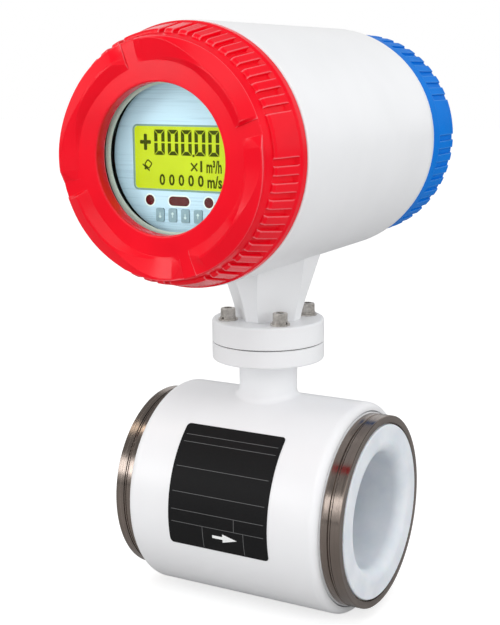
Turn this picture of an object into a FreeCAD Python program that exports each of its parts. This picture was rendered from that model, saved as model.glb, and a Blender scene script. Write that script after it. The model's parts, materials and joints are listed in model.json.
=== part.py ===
"""Electromagnetic flow meter, wafer pattern, with a two-cover converter head.

Frame: millimetres. The origin is the centre of the measuring tube, +X is the direction of flow,
the display looks along -Y and +Z points up the neck. The head's own axis runs along Y.
"""
import math
import os

import FreeCAD
import Part

Vector = FreeCAD.Vector
X_AXIS = Vector(1, 0, 0)
Y_AXIS = Vector(0, 1, 0)
Z_AXIS = Vector(0, 0, 1)

# ---------------------------------------------------------------- clearances and threads
FIT_GAP = 0.3            # gap between pieces that move past each other
SLIP_GAP = 0.1           # gap of a seal or key in its groove
SEAT_GAP = 0.02          # gap between pieces that lie on each other
THREAD_PITCH = 2.0       # both covers' threads

# ---------------------------------------------------------------- measuring tube and its rings
BORE_R = 39.5            # liner bore, nominal size 80
LINER_WALL = 3.0
TUBE_WALL = 2.5
RING_R = 65.0            # raised rings that the pipe flanges clamp
RING_REACH = 14.0        # how far each ring stands out of the casing
RING_GROOVE_WIDTH = 2.4
RING_GROOVE_DEPTH = 0.9
RING_OUTER_BAND = 6.4
FLARE_INSET = 5.9        # ring's outer edge to the liner's flare
FLARE_THICK = 3.6
FLARE_PROUD = 0.6        # how far the sealing face stands out of its steel ring
FLARE_POCKET_GAP = 1.3
BORE_ENTRY_R = 8.5       # rounded mouth of the bore

# ---------------------------------------------------------------- sensor casing
CASING_STEP = 7.0        # casing above the rings
CASING_HALF = 71.4
CASING_WALL = 3.0
CASING_EDGE_R = 5.6
END_PLATE_STEP = 0.8     # end plate above the ring in front of it
END_PLATE_THICK = 5.0
END_PLATE_GAP = 0.7
END_PLATE_PROUD = 0.4

# ---------------------------------------------------------------- neck pipe and flange pair
NECK_PIPE_R = 20.0
NECK_PIPE_WALL = 3.5
NECK_PIPE_LENGTH = 25.5
WELD_R = 4.0
FOOT_WELD = 2.4
FLANGE_R = 38.4
FLANGE_EDGE_R = 1.6
LOWER_FLANGE_THICK = 12.1
GASKET_THICK = 0.5
GASKET_INSET = 1.0
UPPER_FLANGE_THICK = 15.3
BOLT_OFFSET = 20.0       # bolts stand at plus and minus this along X and Y
BOLT_R = 3.0
BOLT_HEAD_R = 5.0
BOLT_HEAD_HEIGHT = 6.0
BOLT_SOCKET_R = 2.9
BOLT_SOCKET_DEPTH = 3.0
BOLT_REACH = 9.0         # screw length inside the lower flange
BOLT_HOLE_GAP = 0.3
WASHER_R = 6.6
WASHER_THICK = 1.1
SPRING_WASHER_R = 5.5
SPRING_WASHER_THICK = 1.2
SPRING_WASHER_SPLIT = 1.2

# ---------------------------------------------------------------- converter head
HEAD_RISE = 116.1        # flange's top to the head's axis
HOUSING_FRONT_Y = -96.4
HOUSING_REAR_Y = 107.0
HOUSING_FRONT_R = 80.0
HOUSING_TAPER = 1.4      # the rear end is this much smaller in radius
HOUSING_SHOULDER = 2.0   # rear edge drawn in
HOUSING_SHOULDER_LENGTH = 9.0
HOUSING_WALL = 6.0
SPIGOT_WALL = 5.0
SPIGOT_STEP = 9.0        # housing's surface down to a spigot's thread
SPIGOT_LENGTH = 12.6
PARTITION_Y = 0.0
PARTITION_THICK = 6.0
NECK_PASSAGE_R = 13.0
NECK_OUTLINES = [        # height above the flange, face distance, half face width, flute's floor
    (-1.0, 22.3, 4.5, 12.6),
    (9.6, 24.6, 5.2, 14.0),
    (21.2, 27.9, 6.8, 16.2),
    (42.4, 33.4, 11.5, 21.3),
    (56.0, 37.4, 15.0, 25.1),
]

# ---------------------------------------------------------------- covers
COVER_RIM_GAP = 0.6
RIM_INSET = 0.6          # front cover's rim below the housing's surface
REAR_RIM_INSET = 0.5     # rear cover's rim below the housing's rear edge
FRONT_RIDGE = 5.6        # plain band next to the housing
REAR_RIDGE = 11.5
RIB_DEPTH = 2.5
REAR_RIB_DEPTH = 1.6
RIB_CHAMFER = 1.5
RIB_WIDTH_DEG = 3.5
LAND_WIDTH_DEG = 18.8
LAND_CENTRE_DEG = 11.5
RIBS_PER_QUARTER = 9
FRONT_RIB_LENGTH = 28.0  # from the rim to the ribs' outer ends
FRONT_COVER_LENGTH = 34.0
FRONT_FACE_STEP = 9.0    # rim's radius down to the face's
REAR_COVER_LENGTH = 43.4
REAR_FACE_STEP = 2.6
WINDOW_R = 44.3
LUG_FOOT_R = 56.7
LUG_FOOT_DRIFT = 2.0     # the foot starts this much nearer to the axis
LUG_HEIGHT = 3.8
LUG_START_DEG = 20.5
LUG_SPAN_DEG = 77.0
LUG_END_DEG = 5.5        # soft slope at a lug's tail
LUG_STEP = 0.9           # crisp step at a lug's head
GLASS_LEDGE = 3.7        # glass beyond the window's edge
GLASS_THICK = 6.0
GLASS_DEPTH = 9.0        # outer glass face behind the cover's face
GASKET_RUBBER = 0.6
RETAINER_LEDGE = 4.5
RETAINER_THICK = 3.6
SEAL_WIDTH = 3.0
SEAL_HEIGHT = 2.3
SEAL_LAND = 1.0          # metal between the thread and the seal groove
SEAL_INSET = 0.7         # seal's lip below the cover's rim

# ---------------------------------------------------------------- display
DISPLAY_FACE_Y = -109.2
DISPLAY_BEYOND = 1.7     # display disc beyond the window's edge
DISPLAY_SHEET = 1.5
LCD_X = 0.8
LCD_Z = -0.5
LCD_WIDTH = 64.0
LCD_HEIGHT = 37.2
LCD_CORNER_R = 2.5
LCD_DEPTH = 7.5
LCD_FRAME = 2.0
SENSOR_Z = -26.0         # optical windows, below the head's axis
SENSOR_PITCH = 20.7
SENSOR_R = 3.2
SENSOR_SLOT = 14.7
KEY_Z = -34.6
KEY_PITCH = 8.9
KEY_WIDTH = 5.75
KEY_HEIGHT = 8.0
KEY_CORNER_R = 1.0
KEY_PROUD = 0.6
KEY_TRAVEL = 0.4
KEY_FOOT = 1.0
TRAY_WALL = 3.0
TRAY_DEPTH = 14.0
BOARD_THICK = 1.6
BOARD_R = 60.0
DISPLAY_BOARD_R = 44.0
POWER_BOARD_Y = -40.0
MAIN_BOARD_Y = -70.0
PILLAR_R = 2.8
PILLAR_OFFSET = 29.0

# ---------------------------------------------------------------- terminals and glands
TERMINAL_WIDTH = 84.0
TERMINAL_HEIGHT = 20.0
TERMINAL_DEPTH = 18.0
TERMINAL_COUNT = 8
TERMINAL_DROP = 42.0     # strip's underside below the head's axis
TERMINAL_WELL_RISE = 13.0
TERMINAL_WELL_DEPTH = 5.0
GROUND_SCREW_INSET = 26.6    # from the housing's inner wall
GLAND_YS = (38.0, 76.0)
GLAND_BORE_R = 5.0
GLAND_SEAL_WALL = 1.8
GLAND_THREAD_R = 10.0
GLAND_HEX_R = 13.4
GLAND_FLANGE = 5.0
GLAND_NUT_LENGTH = 15.0
GLAND_BOSS_R = 16.0
GLAND_BOSS_PROUD = 4.4

# ---------------------------------------------------------------- magnet system and electrodes
SHOE_THICK = 3.2
SHOE_HALF_LENGTH = 28.0
SHOE_HALF_WIDTH = 30.0
POLE_R = 11.0
COIL_R = 23.0
COIL_GAP = 1.5           # saddle to the winding
COIL_CROWN_GAP = 5.8     # winding to the yoke's crown
COIL_EDGE_R = 1.2
YOKE_INSET = 9.5         # casing's surface down to the yoke's inside
YOKE_THICK = 2.0
YOKE_HALF_WIDTH = 14.0
ELECTRODE_HEAD_R = 5.0
ELECTRODE_HEAD = 2.0
ELECTRODE_R = 2.5
ELECTRODE_END_GAP = 5.0  # electrode's outer end to the yoke
BUSH_R = 7.0
BUSH_COLLAR = 2.5
BUSH_SLEEVE_R = 4.2
ELECTRODE_NUT_R = 4.6
ELECTRODE_NUT_THICK = 4.0

# ---------------------------------------------------------------- nameplate
PLATE_WIDTH = 75.0
PLATE_THICK = 0.4
PLATE_LOW_DEG = -16.0
PLATE_HIGH_DEG = 52.0
PLATE_CORNER_R = 2.6

# ---------------------------------------------------------------- places worked out from the above
TUBE_INNER_R = BORE_R + LINER_WALL
TUBE_R = TUBE_INNER_R + TUBE_WALL
FLARE_R = RING_R - FLARE_INSET
RING_FACE_X = CASING_HALF + RING_REACH
POCKET_X = RING_FACE_X + FLARE_PROUD - FLARE_THICK
SEALING_FACE_X = RING_FACE_X + FLARE_PROUD
END_PLATE_X = CASING_HALF + END_PLATE_PROUD
END_PLATE_R = RING_R + END_PLATE_STEP
CASING_OPENING_R = END_PLATE_R + END_PLATE_GAP
CASING_R = RING_R + CASING_STEP
YOKE_R = CASING_R - YOKE_INSET
COIL_FOOT = TUBE_R + SHOE_THICK + COIL_GAP
COIL_HEIGHT = YOKE_R - COIL_CROWN_GAP - COIL_FOOT
ELECTRODE_LENGTH = YOKE_R - ELECTRODE_END_GAP - BORE_R
FLANGE_BOTTOM_Z = CASING_R + NECK_PIPE_LENGTH
LOWER_FLANGE_Z = FLANGE_BOTTOM_Z + LOWER_FLANGE_THICK
UPPER_FLANGE_Z = LOWER_FLANGE_Z + GASKET_THICK
FLANGE_TOP_Z = UPPER_FLANGE_Z + UPPER_FLANGE_THICK
BOLT_PLACES = [(x, y) for x in (-BOLT_OFFSET, BOLT_OFFSET) for y in (-BOLT_OFFSET, BOLT_OFFSET)]
HEAD_Z = FLANGE_TOP_Z + HEAD_RISE
HEAD_AXIS = Vector(0, 0, HEAD_Z)
HOUSING_REAR_R = HOUSING_FRONT_R - HOUSING_TAPER
HOUSING_REAR_EDGE_R = HOUSING_REAR_R - HOUSING_SHOULDER
GROUND_SCREW_RISE = HOUSING_REAR_R - HOUSING_WALL - GROUND_SCREW_INSET
FRONT_SPIGOT_R = HOUSING_FRONT_R - SPIGOT_STEP
REAR_SPIGOT_R = HOUSING_REAR_R - SPIGOT_STEP
GLAND_BOSS_X = HOUSING_REAR_R + GLAND_BOSS_PROUD
PARTITION_BACK_Y = PARTITION_Y + PARTITION_THICK
FRONT_RIM_R = HOUSING_FRONT_R - RIM_INSET
REAR_RIM_R = HOUSING_REAR_EDGE_R - REAR_RIM_INSET
FRONT_FACE_R = FRONT_RIM_R - FRONT_FACE_STEP
REAR_FACE_R = REAR_RIM_R - REAR_FACE_STEP
FRONT_RIM_Y = HOUSING_FRONT_Y - COVER_RIM_GAP
REAR_RIM_Y = HOUSING_REAR_Y + COVER_RIM_GAP
FRONT_FACE_Y = FRONT_RIM_Y - FRONT_COVER_LENGTH
QUARTER_DEG = 90.0
RIBBED_DEG = QUARTER_DEG - LAND_WIDTH_DEG
GROOVE_WIDTH_DEG = (RIBBED_DEG - RIBS_PER_QUARTER * RIB_WIDTH_DEG) / (RIBS_PER_QUARTER + 1)
GLASS_R = WINDOW_R + GLASS_LEDGE
GLASS_Y = FRONT_FACE_Y + GLASS_DEPTH
RETAINER_R = GLASS_R + RETAINER_LEDGE
RETAINER_Y = GLASS_Y + GLASS_THICK
DISPLAY_R = WINDOW_R + DISPLAY_BEYOND
DISPLAY_BACK_Y = DISPLAY_FACE_Y + DISPLAY_SHEET
TRAY_BACK_Y = DISPLAY_FACE_Y + TRAY_DEPTH
DISPLAY_BOARD_Y = DISPLAY_BACK_Y + LCD_DEPTH + SEAT_GAP


# ================================================================ drawing helpers
def rounded_corner(before, at, after, radius):
    """Start, middle and end of the arc that rounds one corner of a flat outline."""
    to_before = (before - at).normalize()
    to_after = (after - at).normalize()
    half_angle = to_before.getAngle(to_after) / 2
    reach = radius / math.tan(half_angle)
    middle = (to_before + to_after).normalize() * (radius / math.sin(half_angle) - radius)
    return at + to_before * reach, at + middle, at + to_after * reach


def outline(corners):
    """Closed wire through (point, corner radius) pairs, with each stated corner rounded."""
    pieces = []
    for index, (at, radius) in enumerate(corners):
        before = corners[index - 1][0]
        after = corners[(index + 1) % len(corners)][0]
        if radius > 0:
            pieces.append(rounded_corner(before, at, after, radius))
        else:
            pieces.append((at, None, at))
    edges = []
    for index, (start, middle, end) in enumerate(pieces):
        if middle is not None:
            edges.append(Part.Arc(start, middle, end).toShape())
        following = pieces[(index + 1) % len(pieces)][0]
        if (following - end).Length > 1e-6:
            edges.append(Part.LineSegment(end, following).toShape())
    return Part.Wire(edges)


def turned(profile, axis):
    """Solid of revolution. The profile lists (radius, place along the axis, corner radius)."""
    places = {
        "X": lambda r, a: Vector(a, 0, -r),
        "Y": lambda r, a: Vector(-r, a, HEAD_Z),
        "Z": lambda r, a: Vector(r, 0, a),
    }
    centre = HEAD_AXIS if axis == "Y" else Vector(0, 0, 0)
    direction = {"X": X_AXIS, "Y": Y_AXIS, "Z": Z_AXIS}[axis]
    corners = [(places[axis](point[0], point[1]), point[2] if len(point) > 2 else 0) for point in profile]
    return Part.Face(outline(corners)).revolve(centre, direction, 360)


def tube(outer, inner, start, end, axis):
    """Plain ring or tube between two places along an axis."""
    return turned([(inner, start), (outer, start), (outer, end), (inner, end)], axis)


def cylinder(radius, base, direction, length):
    return Part.makeCylinder(radius, length, base, direction)


def hexagon(radius, base, direction, length):
    """Hexagonal prism on the given corner radius."""
    turn = FreeCAD.Rotation(Z_AXIS, direction)
    points = []
    for step in range(7):
        angle = math.radians(60 * step)
        points.append(base + turn.multVec(Vector(radius * math.cos(angle), radius * math.sin(angle), 0)))
    return Part.Face(Part.makePolygon(points)).extrude(direction * length)


def rounded_block(width, height, corner_r, centre_x, centre_z, start_y, end_y):
    """Block with rounded upright corners, standing on the display plane and going back along Y."""
    half_w, half_h = width / 2, height / 2
    corners = []
    for side_x, side_z in ((-1, -1), (1, -1), (1, 1), (-1, 1)):
        corners.append((Vector(centre_x + side_x * half_w, start_y, centre_z + side_z * half_h), corner_r))
    return Part.Face(outline(corners)).extrude(Vector(0, end_y - start_y, 0))


def about_head(shape, degrees):
    """Copy of a shape turned about the head's axis, from +X towards +Z."""
    copy = shape.copy()
    copy.rotate(HEAD_AXIS, Vector(0, -1, 0), degrees)
    return copy


def on_head(radius, degrees, along_y):
    """Point at an angle round the head's axis, from +X towards +Z."""
    angle = math.radians(degrees)
    return Vector(radius * math.cos(angle), along_y, HEAD_Z + radius * math.sin(angle))


def group(shapes):
    """Several separate solids kept in one node."""
    return Part.makeCompound(shapes)


# ================================================================ measuring tube
def measuring_tube():
    body = tube(TUBE_R, TUBE_INNER_R, -POCKET_X, POCKET_X, "X")
    hole = cylinder(BUSH_SLEEVE_R + SEAT_GAP, Vector(0, -TUBE_R - 1, 0), Y_AXIS, 2 * TUBE_R + 2)
    return body.cut(hole)


def end_ring(side):
    """Steel clamping ring with a turned double groove and the pocket that holds the liner's flare."""
    groove_start = RING_FACE_X - RING_OUTER_BAND
    groove_end = groove_start - RING_GROOVE_WIDTH
    pocket_r = FLARE_R + FLARE_POCKET_GAP
    profile = [
        (TUBE_R, END_PLATE_X),
        (RING_R - 0.4, END_PLATE_X),
        (RING_R, END_PLATE_X + 0.4),
        (RING_R, groove_end),
        (RING_R - RING_GROOVE_DEPTH, groove_end + 0.5),
        (RING_R - RING_GROOVE_DEPTH, groove_end + 0.9),
        (RING_R - RING_GROOVE_DEPTH / 3, groove_end + 1.1),
        (RING_R - RING_GROOVE_DEPTH / 3, groove_start - 0.6),
        (RING_R - RING_GROOVE_DEPTH, groove_start - 0.4),
        (RING_R - RING_GROOVE_DEPTH, groove_start - 0.1),
        (RING_R, groove_start),
        (RING_R, RING_FACE_X - 0.4),
        (RING_R - 0.4, RING_FACE_X),
        (pocket_r, RING_FACE_X),
        (pocket_r, POCKET_X),
        (TUBE_R, POCKET_X),
    ]
    return turned([(r, side * x) for r, x in profile], "X")


def liner():
    """Fluoroplastic liner, flared over both end rings, with rounded mouths."""
    edge_r = 0.9
    profile = [
        (BORE_R, -SEALING_FACE_X, BORE_ENTRY_R),
        (FLARE_R, -SEALING_FACE_X, edge_r),
        (FLARE_R, -POCKET_X),
        (TUBE_INNER_R, -POCKET_X),
        (TUBE_INNER_R, POCKET_X),
        (FLARE_R, POCKET_X),
        (FLARE_R, SEALING_FACE_X, edge_r),
        (BORE_R, SEALING_FACE_X, BORE_ENTRY_R),
    ]
    body = turned(profile, "X")
    for side in (-1, 1):
        direction = Vector(0, side, 0)
        head = cylinder(ELECTRODE_HEAD_R + SEAT_GAP, direction * (BORE_R - 3), direction, 3 + ELECTRODE_HEAD)
        stem = cylinder(ELECTRODE_R + SEAT_GAP, direction * BORE_R, direction, LINER_WALL + 1)
        body = body.cut(head).cut(stem)
    return body


# ================================================================ electrodes and magnet system
def electrode(side):
    """Disc-headed steel electrode, flush with the liner's bore."""
    direction = Vector(0, side, 0)
    head = cylinder(ELECTRODE_HEAD_R, direction * BORE_R, direction, ELECTRODE_HEAD)
    stem = cylinder(ELECTRODE_R, direction * BORE_R, direction, ELECTRODE_LENGTH)
    return head.fuse(stem).removeSplitter()


def electrode_bush(side):
    """Insulating bush with a sleeve through the tube's wall."""
    direction = Vector(0, side, 0)
    sleeve = cylinder(BUSH_SLEEVE_R, direction * (TUBE_INNER_R + SEAT_GAP), direction, TUBE_WALL + 1)
    collar = cylinder(BUSH_R, direction * TUBE_R, direction, BUSH_COLLAR)
    hole = cylinder(ELECTRODE_R + SEAT_GAP, direction * BORE_R, direction, ELECTRODE_LENGTH)
    return sleeve.fuse(collar).cut(hole).removeSplitter()


def electrode_nut(side):
    direction = Vector(0, side, 0)
    start = TUBE_R + BUSH_COLLAR + SEAT_GAP
    body = hexagon(ELECTRODE_NUT_R, direction * start, direction, ELECTRODE_NUT_THICK)
    return body.cut(cylinder(ELECTRODE_R + SEAT_GAP, direction * BORE_R, direction, YOKE_R - BORE_R))


def pole_piece(side):
    """Saddle that hugs the tube, with the round core that carries the coil."""
    direction = Vector(0, 0, side)
    inner_r = TUBE_R + SEAT_GAP
    saddle = tube(inner_r + SHOE_THICK, inner_r, -SHOE_HALF_LENGTH, SHOE_HALF_LENGTH, "X")
    window = Part.makeBox(2 * SHOE_HALF_LENGTH, 2 * SHOE_HALF_WIDTH, YOKE_R,
                          Vector(-SHOE_HALF_LENGTH, -SHOE_HALF_WIDTH, 0 if side > 0 else -YOKE_R))
    core = cylinder(POLE_R, direction * (TUBE_R + SHOE_THICK / 2), direction, YOKE_R)
    inside_yoke = cylinder(YOKE_R - SEAT_GAP, Vector(-CASING_HALF, 0, 0), X_AXIS, 2 * CASING_HALF)
    return saddle.common(window).fuse(core).common(inside_yoke).removeSplitter()


def coil(side):
    """Round winding on the pole core."""
    inner = POLE_R + SLIP_GAP
    end = COIL_FOOT + COIL_HEIGHT
    edge_r = min(COIL_EDGE_R, COIL_HEIGHT / 3)
    profile = [(inner, COIL_FOOT), (COIL_R, COIL_FOOT, edge_r), (COIL_R, end, edge_r), (inner, end)]
    return turned([(point[0], side * point[1], *point[2:]) for point in profile], "Z")


def yoke():
    """Steel band that closes the magnet's path round the tube."""
    return tube(YOKE_R + YOKE_THICK, YOKE_R, -YOKE_HALF_WIDTH, YOKE_HALF_WIDTH, "X")


# ================================================================ sensor casing
def edges_near(shape, test):
    """Edges whose middle point passes a test."""
    chosen = []
    for edge in shape.Edges:
        middle = edge.valueAt((edge.FirstParameter + edge.LastParameter) / 2)
        if test(middle):
            chosen.append(edge)
    return chosen


def sensor_casing():
    """Painted shell with the neck pipe and the lower flange welded on."""
    inner_r = CASING_R - CASING_WALL
    inner_half = CASING_HALF - CASING_WALL
    up = Z_AXIS
    drum = turned([
        (0, -CASING_HALF),
        (CASING_R, -CASING_HALF, CASING_EDGE_R),
        (CASING_R, CASING_HALF, CASING_EDGE_R),
        (0, CASING_HALF),
    ], "X")
    body = drum.fuse(cylinder(NECK_PIPE_R, up * inner_r / 2, up, FLANGE_BOTTOM_Z - inner_r / 2))
    weld = edges_near(body, lambda p: abs(math.hypot(p.x, p.y) - NECK_PIPE_R) < 0.01
                      and abs(math.hypot(p.y, p.z) - CASING_R) < 0.01)
    body = body.makeFillet(WELD_R, weld)
    flange = turned([
        (0, FLANGE_BOTTOM_Z),
        (FLANGE_R, FLANGE_BOTTOM_Z, FLANGE_EDGE_R),
        (FLANGE_R, LOWER_FLANGE_Z, 0.5),
        (0, LOWER_FLANGE_Z),
    ], "Z")
    foot = turned([
        (NECK_PIPE_R - 1, FLANGE_BOTTOM_Z - FOOT_WELD),
        (NECK_PIPE_R, FLANGE_BOTTOM_Z - FOOT_WELD),
        (NECK_PIPE_R + 0.3 * FOOT_WELD, FLANGE_BOTTOM_Z - 0.3 * FOOT_WELD),
        (NECK_PIPE_R + FOOT_WELD, FLANGE_BOTTOM_Z + 0.1),
        (NECK_PIPE_R - 1, FLANGE_BOTTOM_Z + 0.1),
    ], "Z")
    body = body.fuse([flange, foot])
    chamber = cylinder(inner_r, Vector(-inner_half, 0, 0), X_AXIS, 2 * inner_half)
    opening = cylinder(CASING_OPENING_R, Vector(-CASING_HALF - 1, 0, 0), X_AXIS, 2 * CASING_HALF + 2)
    passage = cylinder(NECK_PIPE_R - NECK_PIPE_WALL, up * inner_r / 2, up, LOWER_FLANGE_Z)
    body = body.cut([chamber, opening, passage])
    for x, y in BOLT_PLACES:
        start = Vector(x, y, LOWER_FLANGE_Z - BOLT_REACH - 1)
        body = body.cut(cylinder(BOLT_R + SEAT_GAP, start, up, BOLT_REACH + 2))
    return body.removeSplitter()


def end_plate(side):
    """Painted disc that closes the casing round the tube."""
    return tube(END_PLATE_R, TUBE_R, side * (END_PLATE_X - END_PLATE_THICK), side * END_PLATE_X, "X")


def nameplate():
    """Thin curved plate, bent to the casing, with rounded corners."""
    middle_deg = (PLATE_LOW_DEG + PLATE_HIGH_DEG) / 2
    half_deg = (PLATE_HIGH_DEG - PLATE_LOW_DEG) / 2
    inner_r = CASING_R + SEAT_GAP
    half_chord = inner_r * math.sin(math.radians(half_deg))
    half_w = PLATE_WIDTH / 2
    corners = [(Vector(x * half_w, 0, z * half_chord), PLATE_CORNER_R)
               for x, z in ((-1, -1), (1, -1), (1, 1), (-1, 1))]
    prism = Part.Face(outline(corners)).extrude(Vector(0, -2 * CASING_R, 0))
    prism.rotate(Vector(0, 0, 0), X_AXIS, -middle_deg)
    return prism.common(tube(inner_r + PLATE_THICK, inner_r, -half_w - 1, half_w + 1, "X"))


# ================================================================ flange bolts
def flange_gasket():
    body = cylinder(FLANGE_R - GASKET_INSET, Vector(0, 0, LOWER_FLANGE_Z), Z_AXIS, GASKET_THICK)
    body = body.cut(cylinder(NECK_PIPE_R, Vector(0, 0, LOWER_FLANGE_Z - 1), Z_AXIS, GASKET_THICK + 2))
    for x, y in BOLT_PLACES:
        hole = cylinder(BOLT_R + BOLT_HOLE_GAP, Vector(x, y, LOWER_FLANGE_Z - 1), Z_AXIS, GASKET_THICK + 2)
        body = body.cut(hole)
    return body


def flange_bolt(x, y):
    """Socket-head cap screw."""
    up = Z_AXIS
    seat_z = FLANGE_TOP_Z + WASHER_THICK + SPRING_WASHER_THICK
    shank_z = LOWER_FLANGE_Z - BOLT_REACH
    head = turned([(0, seat_z), (BOLT_HEAD_R, seat_z), (BOLT_HEAD_R, seat_z + BOLT_HEAD_HEIGHT, 0.8),
                   (0, seat_z + BOLT_HEAD_HEIGHT)], "Z")
    shank = cylinder(BOLT_R, up * shank_z, up, seat_z - shank_z)
    socket_z = seat_z + BOLT_HEAD_HEIGHT - BOLT_SOCKET_DEPTH
    socket = hexagon(BOLT_SOCKET_R, up * socket_z, up, BOLT_SOCKET_DEPTH + 1)
    bolt = head.fuse(shank).cut(socket)
    bolt.translate(Vector(x, y, 0))
    return bolt


def flange_washer(x, y):
    washer = tube(WASHER_R, BOLT_R + SLIP_GAP, FLANGE_TOP_Z, FLANGE_TOP_Z + WASHER_THICK, "Z")
    washer.translate(Vector(x, y, 0))
    return washer


def spring_washer(x, y):
    """Split washer, flattened under the bolt's head."""
    low = FLANGE_TOP_Z + WASHER_THICK
    washer = tube(SPRING_WASHER_R, BOLT_R + SLIP_GAP, low, low + SPRING_WASHER_THICK, "Z")
    slot = Part.makeBox(SPRING_WASHER_R + 1, SPRING_WASHER_SPLIT, SPRING_WASHER_THICK + 2,
                        Vector(0, -SPRING_WASHER_SPLIT / 2, low - 1))
    washer = washer.cut(slot)
    washer.rotate(Vector(0, 0, 0), Z_AXIS, math.degrees(math.atan2(y, x)) + 35)
    washer.translate(Vector(x, y, 0))
    return washer


# ================================================================ converter housing
def neck_section(z, face, half_width, floor):
    """Section of the cast neck: four flat faces joined by shallow flutes that leave room for the bolts."""
    edges = []
    for quarter in range(4):
        turn = FreeCAD.Rotation(Z_AXIS, quarter * QUARTER_DEG)
        marks = [(face, -half_width), (face, half_width), (floor, floor), (half_width, face)]
        low, high, middle, following = [turn.multVec(Vector(x, y, 0)) + Vector(0, 0, z) for x, y in marks]
        edges.append(Part.LineSegment(low, high).toShape())
        edges.append(Part.Arc(high, middle, following).toShape())
    return Part.Wire(edges)


def cast_neck():
    """Tapered, fluted neck on the round upper flange."""
    sections = [neck_section(FLANGE_TOP_Z + rise, *sizes) for rise, *sizes in NECK_OUTLINES]
    neck = Part.makeLoft(sections, True, False)
    flange = turned([(0, UPPER_FLANGE_Z), (FLANGE_R, UPPER_FLANGE_Z, 0.5),
                     (FLANGE_R, FLANGE_TOP_Z, FLANGE_EDGE_R), (0, FLANGE_TOP_Z)], "Z")
    return neck.fuse(flange)


def housing():
    """Cast converter housing: two chambers, two threaded spigots, glanded side bosses and the neck."""
    front_inner = HOUSING_FRONT_R - HOUSING_WALL
    rear_inner = HOUSING_REAR_R - HOUSING_WALL
    front_mouth = FRONT_SPIGOT_R - SPIGOT_WALL
    rear_mouth = REAR_SPIGOT_R - SPIGOT_WALL
    front_end = HOUSING_FRONT_Y - SPIGOT_LENGTH
    rear_end = HOUSING_REAR_Y + SPIGOT_LENGTH
    outside = turned([
        (0, front_end),
        (FRONT_SPIGOT_R, front_end, 0.6),
        (FRONT_SPIGOT_R, HOUSING_FRONT_Y),
        (HOUSING_FRONT_R, HOUSING_FRONT_Y, 1.4),
        (HOUSING_REAR_R, HOUSING_REAR_Y - HOUSING_SHOULDER_LENGTH, 30.0),
        (HOUSING_REAR_EDGE_R, HOUSING_REAR_Y, 1.2),
        (REAR_SPIGOT_R, HOUSING_REAR_Y),
        (REAR_SPIGOT_R, rear_end, 0.6),
        (0, rear_end),
    ], "Y")
    body = outside.fuse(cast_neck())
    for y in GLAND_YS:
        base = Vector(-rear_inner, y, HEAD_Z)
        body = body.fuse(cylinder(GLAND_BOSS_R, base, Vector(-1, 0, 0), GLAND_BOSS_X - rear_inner))
    front_chamber = turned([
        (0, front_end - 1),
        (front_mouth, front_end - 1),
        (front_mouth, HOUSING_FRONT_Y + 4),
        (front_inner, HOUSING_FRONT_Y + 10),
        (front_inner, PARTITION_Y),
        (0, PARTITION_Y),
    ], "Y")
    rear_chamber = turned([
        (0, PARTITION_BACK_Y),
        (rear_inner, PARTITION_BACK_Y),
        (rear_inner, HOUSING_REAR_Y - 14),
        (rear_mouth, HOUSING_REAR_Y - 7),
        (rear_mouth, rear_end + 1),
        (0, rear_end + 1),
    ], "Y")
    body = body.cut(front_chamber).cut(rear_chamber)
    passage_top_z = HEAD_Z - front_inner / 2
    body = body.cut(cylinder(NECK_PASSAGE_R, Vector(0, 0, UPPER_FLANGE_Z - 1), Z_AXIS,
                             passage_top_z - UPPER_FLANGE_Z + 1))
    for x, y in BOLT_PLACES:
        hole = cylinder(BOLT_R + BOLT_HOLE_GAP, Vector(x, y, UPPER_FLANGE_Z - 1), Z_AXIS,
                        UPPER_FLANGE_THICK + 2)
        body = body.cut(hole)
    for y in GLAND_YS:
        entry = cylinder(GLAND_THREAD_R + SEAT_GAP, Vector(-GLAND_BOSS_X - 1, y, HEAD_Z), X_AXIS,
                         GLAND_BOSS_X - rear_inner + 6)
        body = body.cut(entry)
    return body.removeSplitter()


# ================================================================ covers
def rib_groove(stations):
    """Cutter for one groove between ribs. Stations list (floor radius, place along the head's axis)."""
    top_r = HOUSING_FRONT_R + 4
    sections = []
    for floor_r, along_y in stations:
        half_top = math.radians(GROOVE_WIDTH_DEG / 2) * top_r * 1.08
        half_floor = math.radians(GROOVE_WIDTH_DEG / 2) * floor_r * 0.78
        points = [
            Vector(floor_r, along_y, HEAD_Z - half_floor),
            Vector(floor_r, along_y, HEAD_Z + half_floor),
            Vector(top_r, along_y, HEAD_Z + half_top),
            Vector(top_r, along_y, HEAD_Z - half_top),
        ]
        sections.append(Part.makePolygon(points + points[:1]))
    return Part.makeLoft(sections, True, True)


def cut_ribs(cover, stations):
    """Cut the grip's grooves: in each quarter turn a wide land, then ribs of equal width."""
    groove = rib_groove(stations)
    first = LAND_CENTRE_DEG + LAND_WIDTH_DEG / 2 + GROOVE_WIDTH_DEG / 2
    cutters = []
    for quarter in range(4):
        for rib in range(RIBS_PER_QUARTER + 1):
            angle = quarter * QUARTER_DEG + first + rib * (RIB_WIDTH_DEG + GROOVE_WIDTH_DEG)
            cutters.append(about_head(groove, angle))
    return cover.cut(group(cutters))


def smooth_step(value, low, high):
    """0 below low, 1 above high and a smooth rise between."""
    share = min(max((value - low) / (high - low), 0.0), 1.0)
    return share * share * (3 - 2 * share)


def lug_wire(degrees, face_y, outward, marks):
    """Closed section of a lug through (radius, height) marks, sunk a little into the cover."""
    bite = 1.2
    rounded = [(marks[0][0], -bite)] + marks + [(marks[-1][0], -bite)]
    points = [on_head(r, degrees, face_y + outward * h) for r, h in rounded]
    return Part.makePolygon(points + points[:1])


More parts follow.
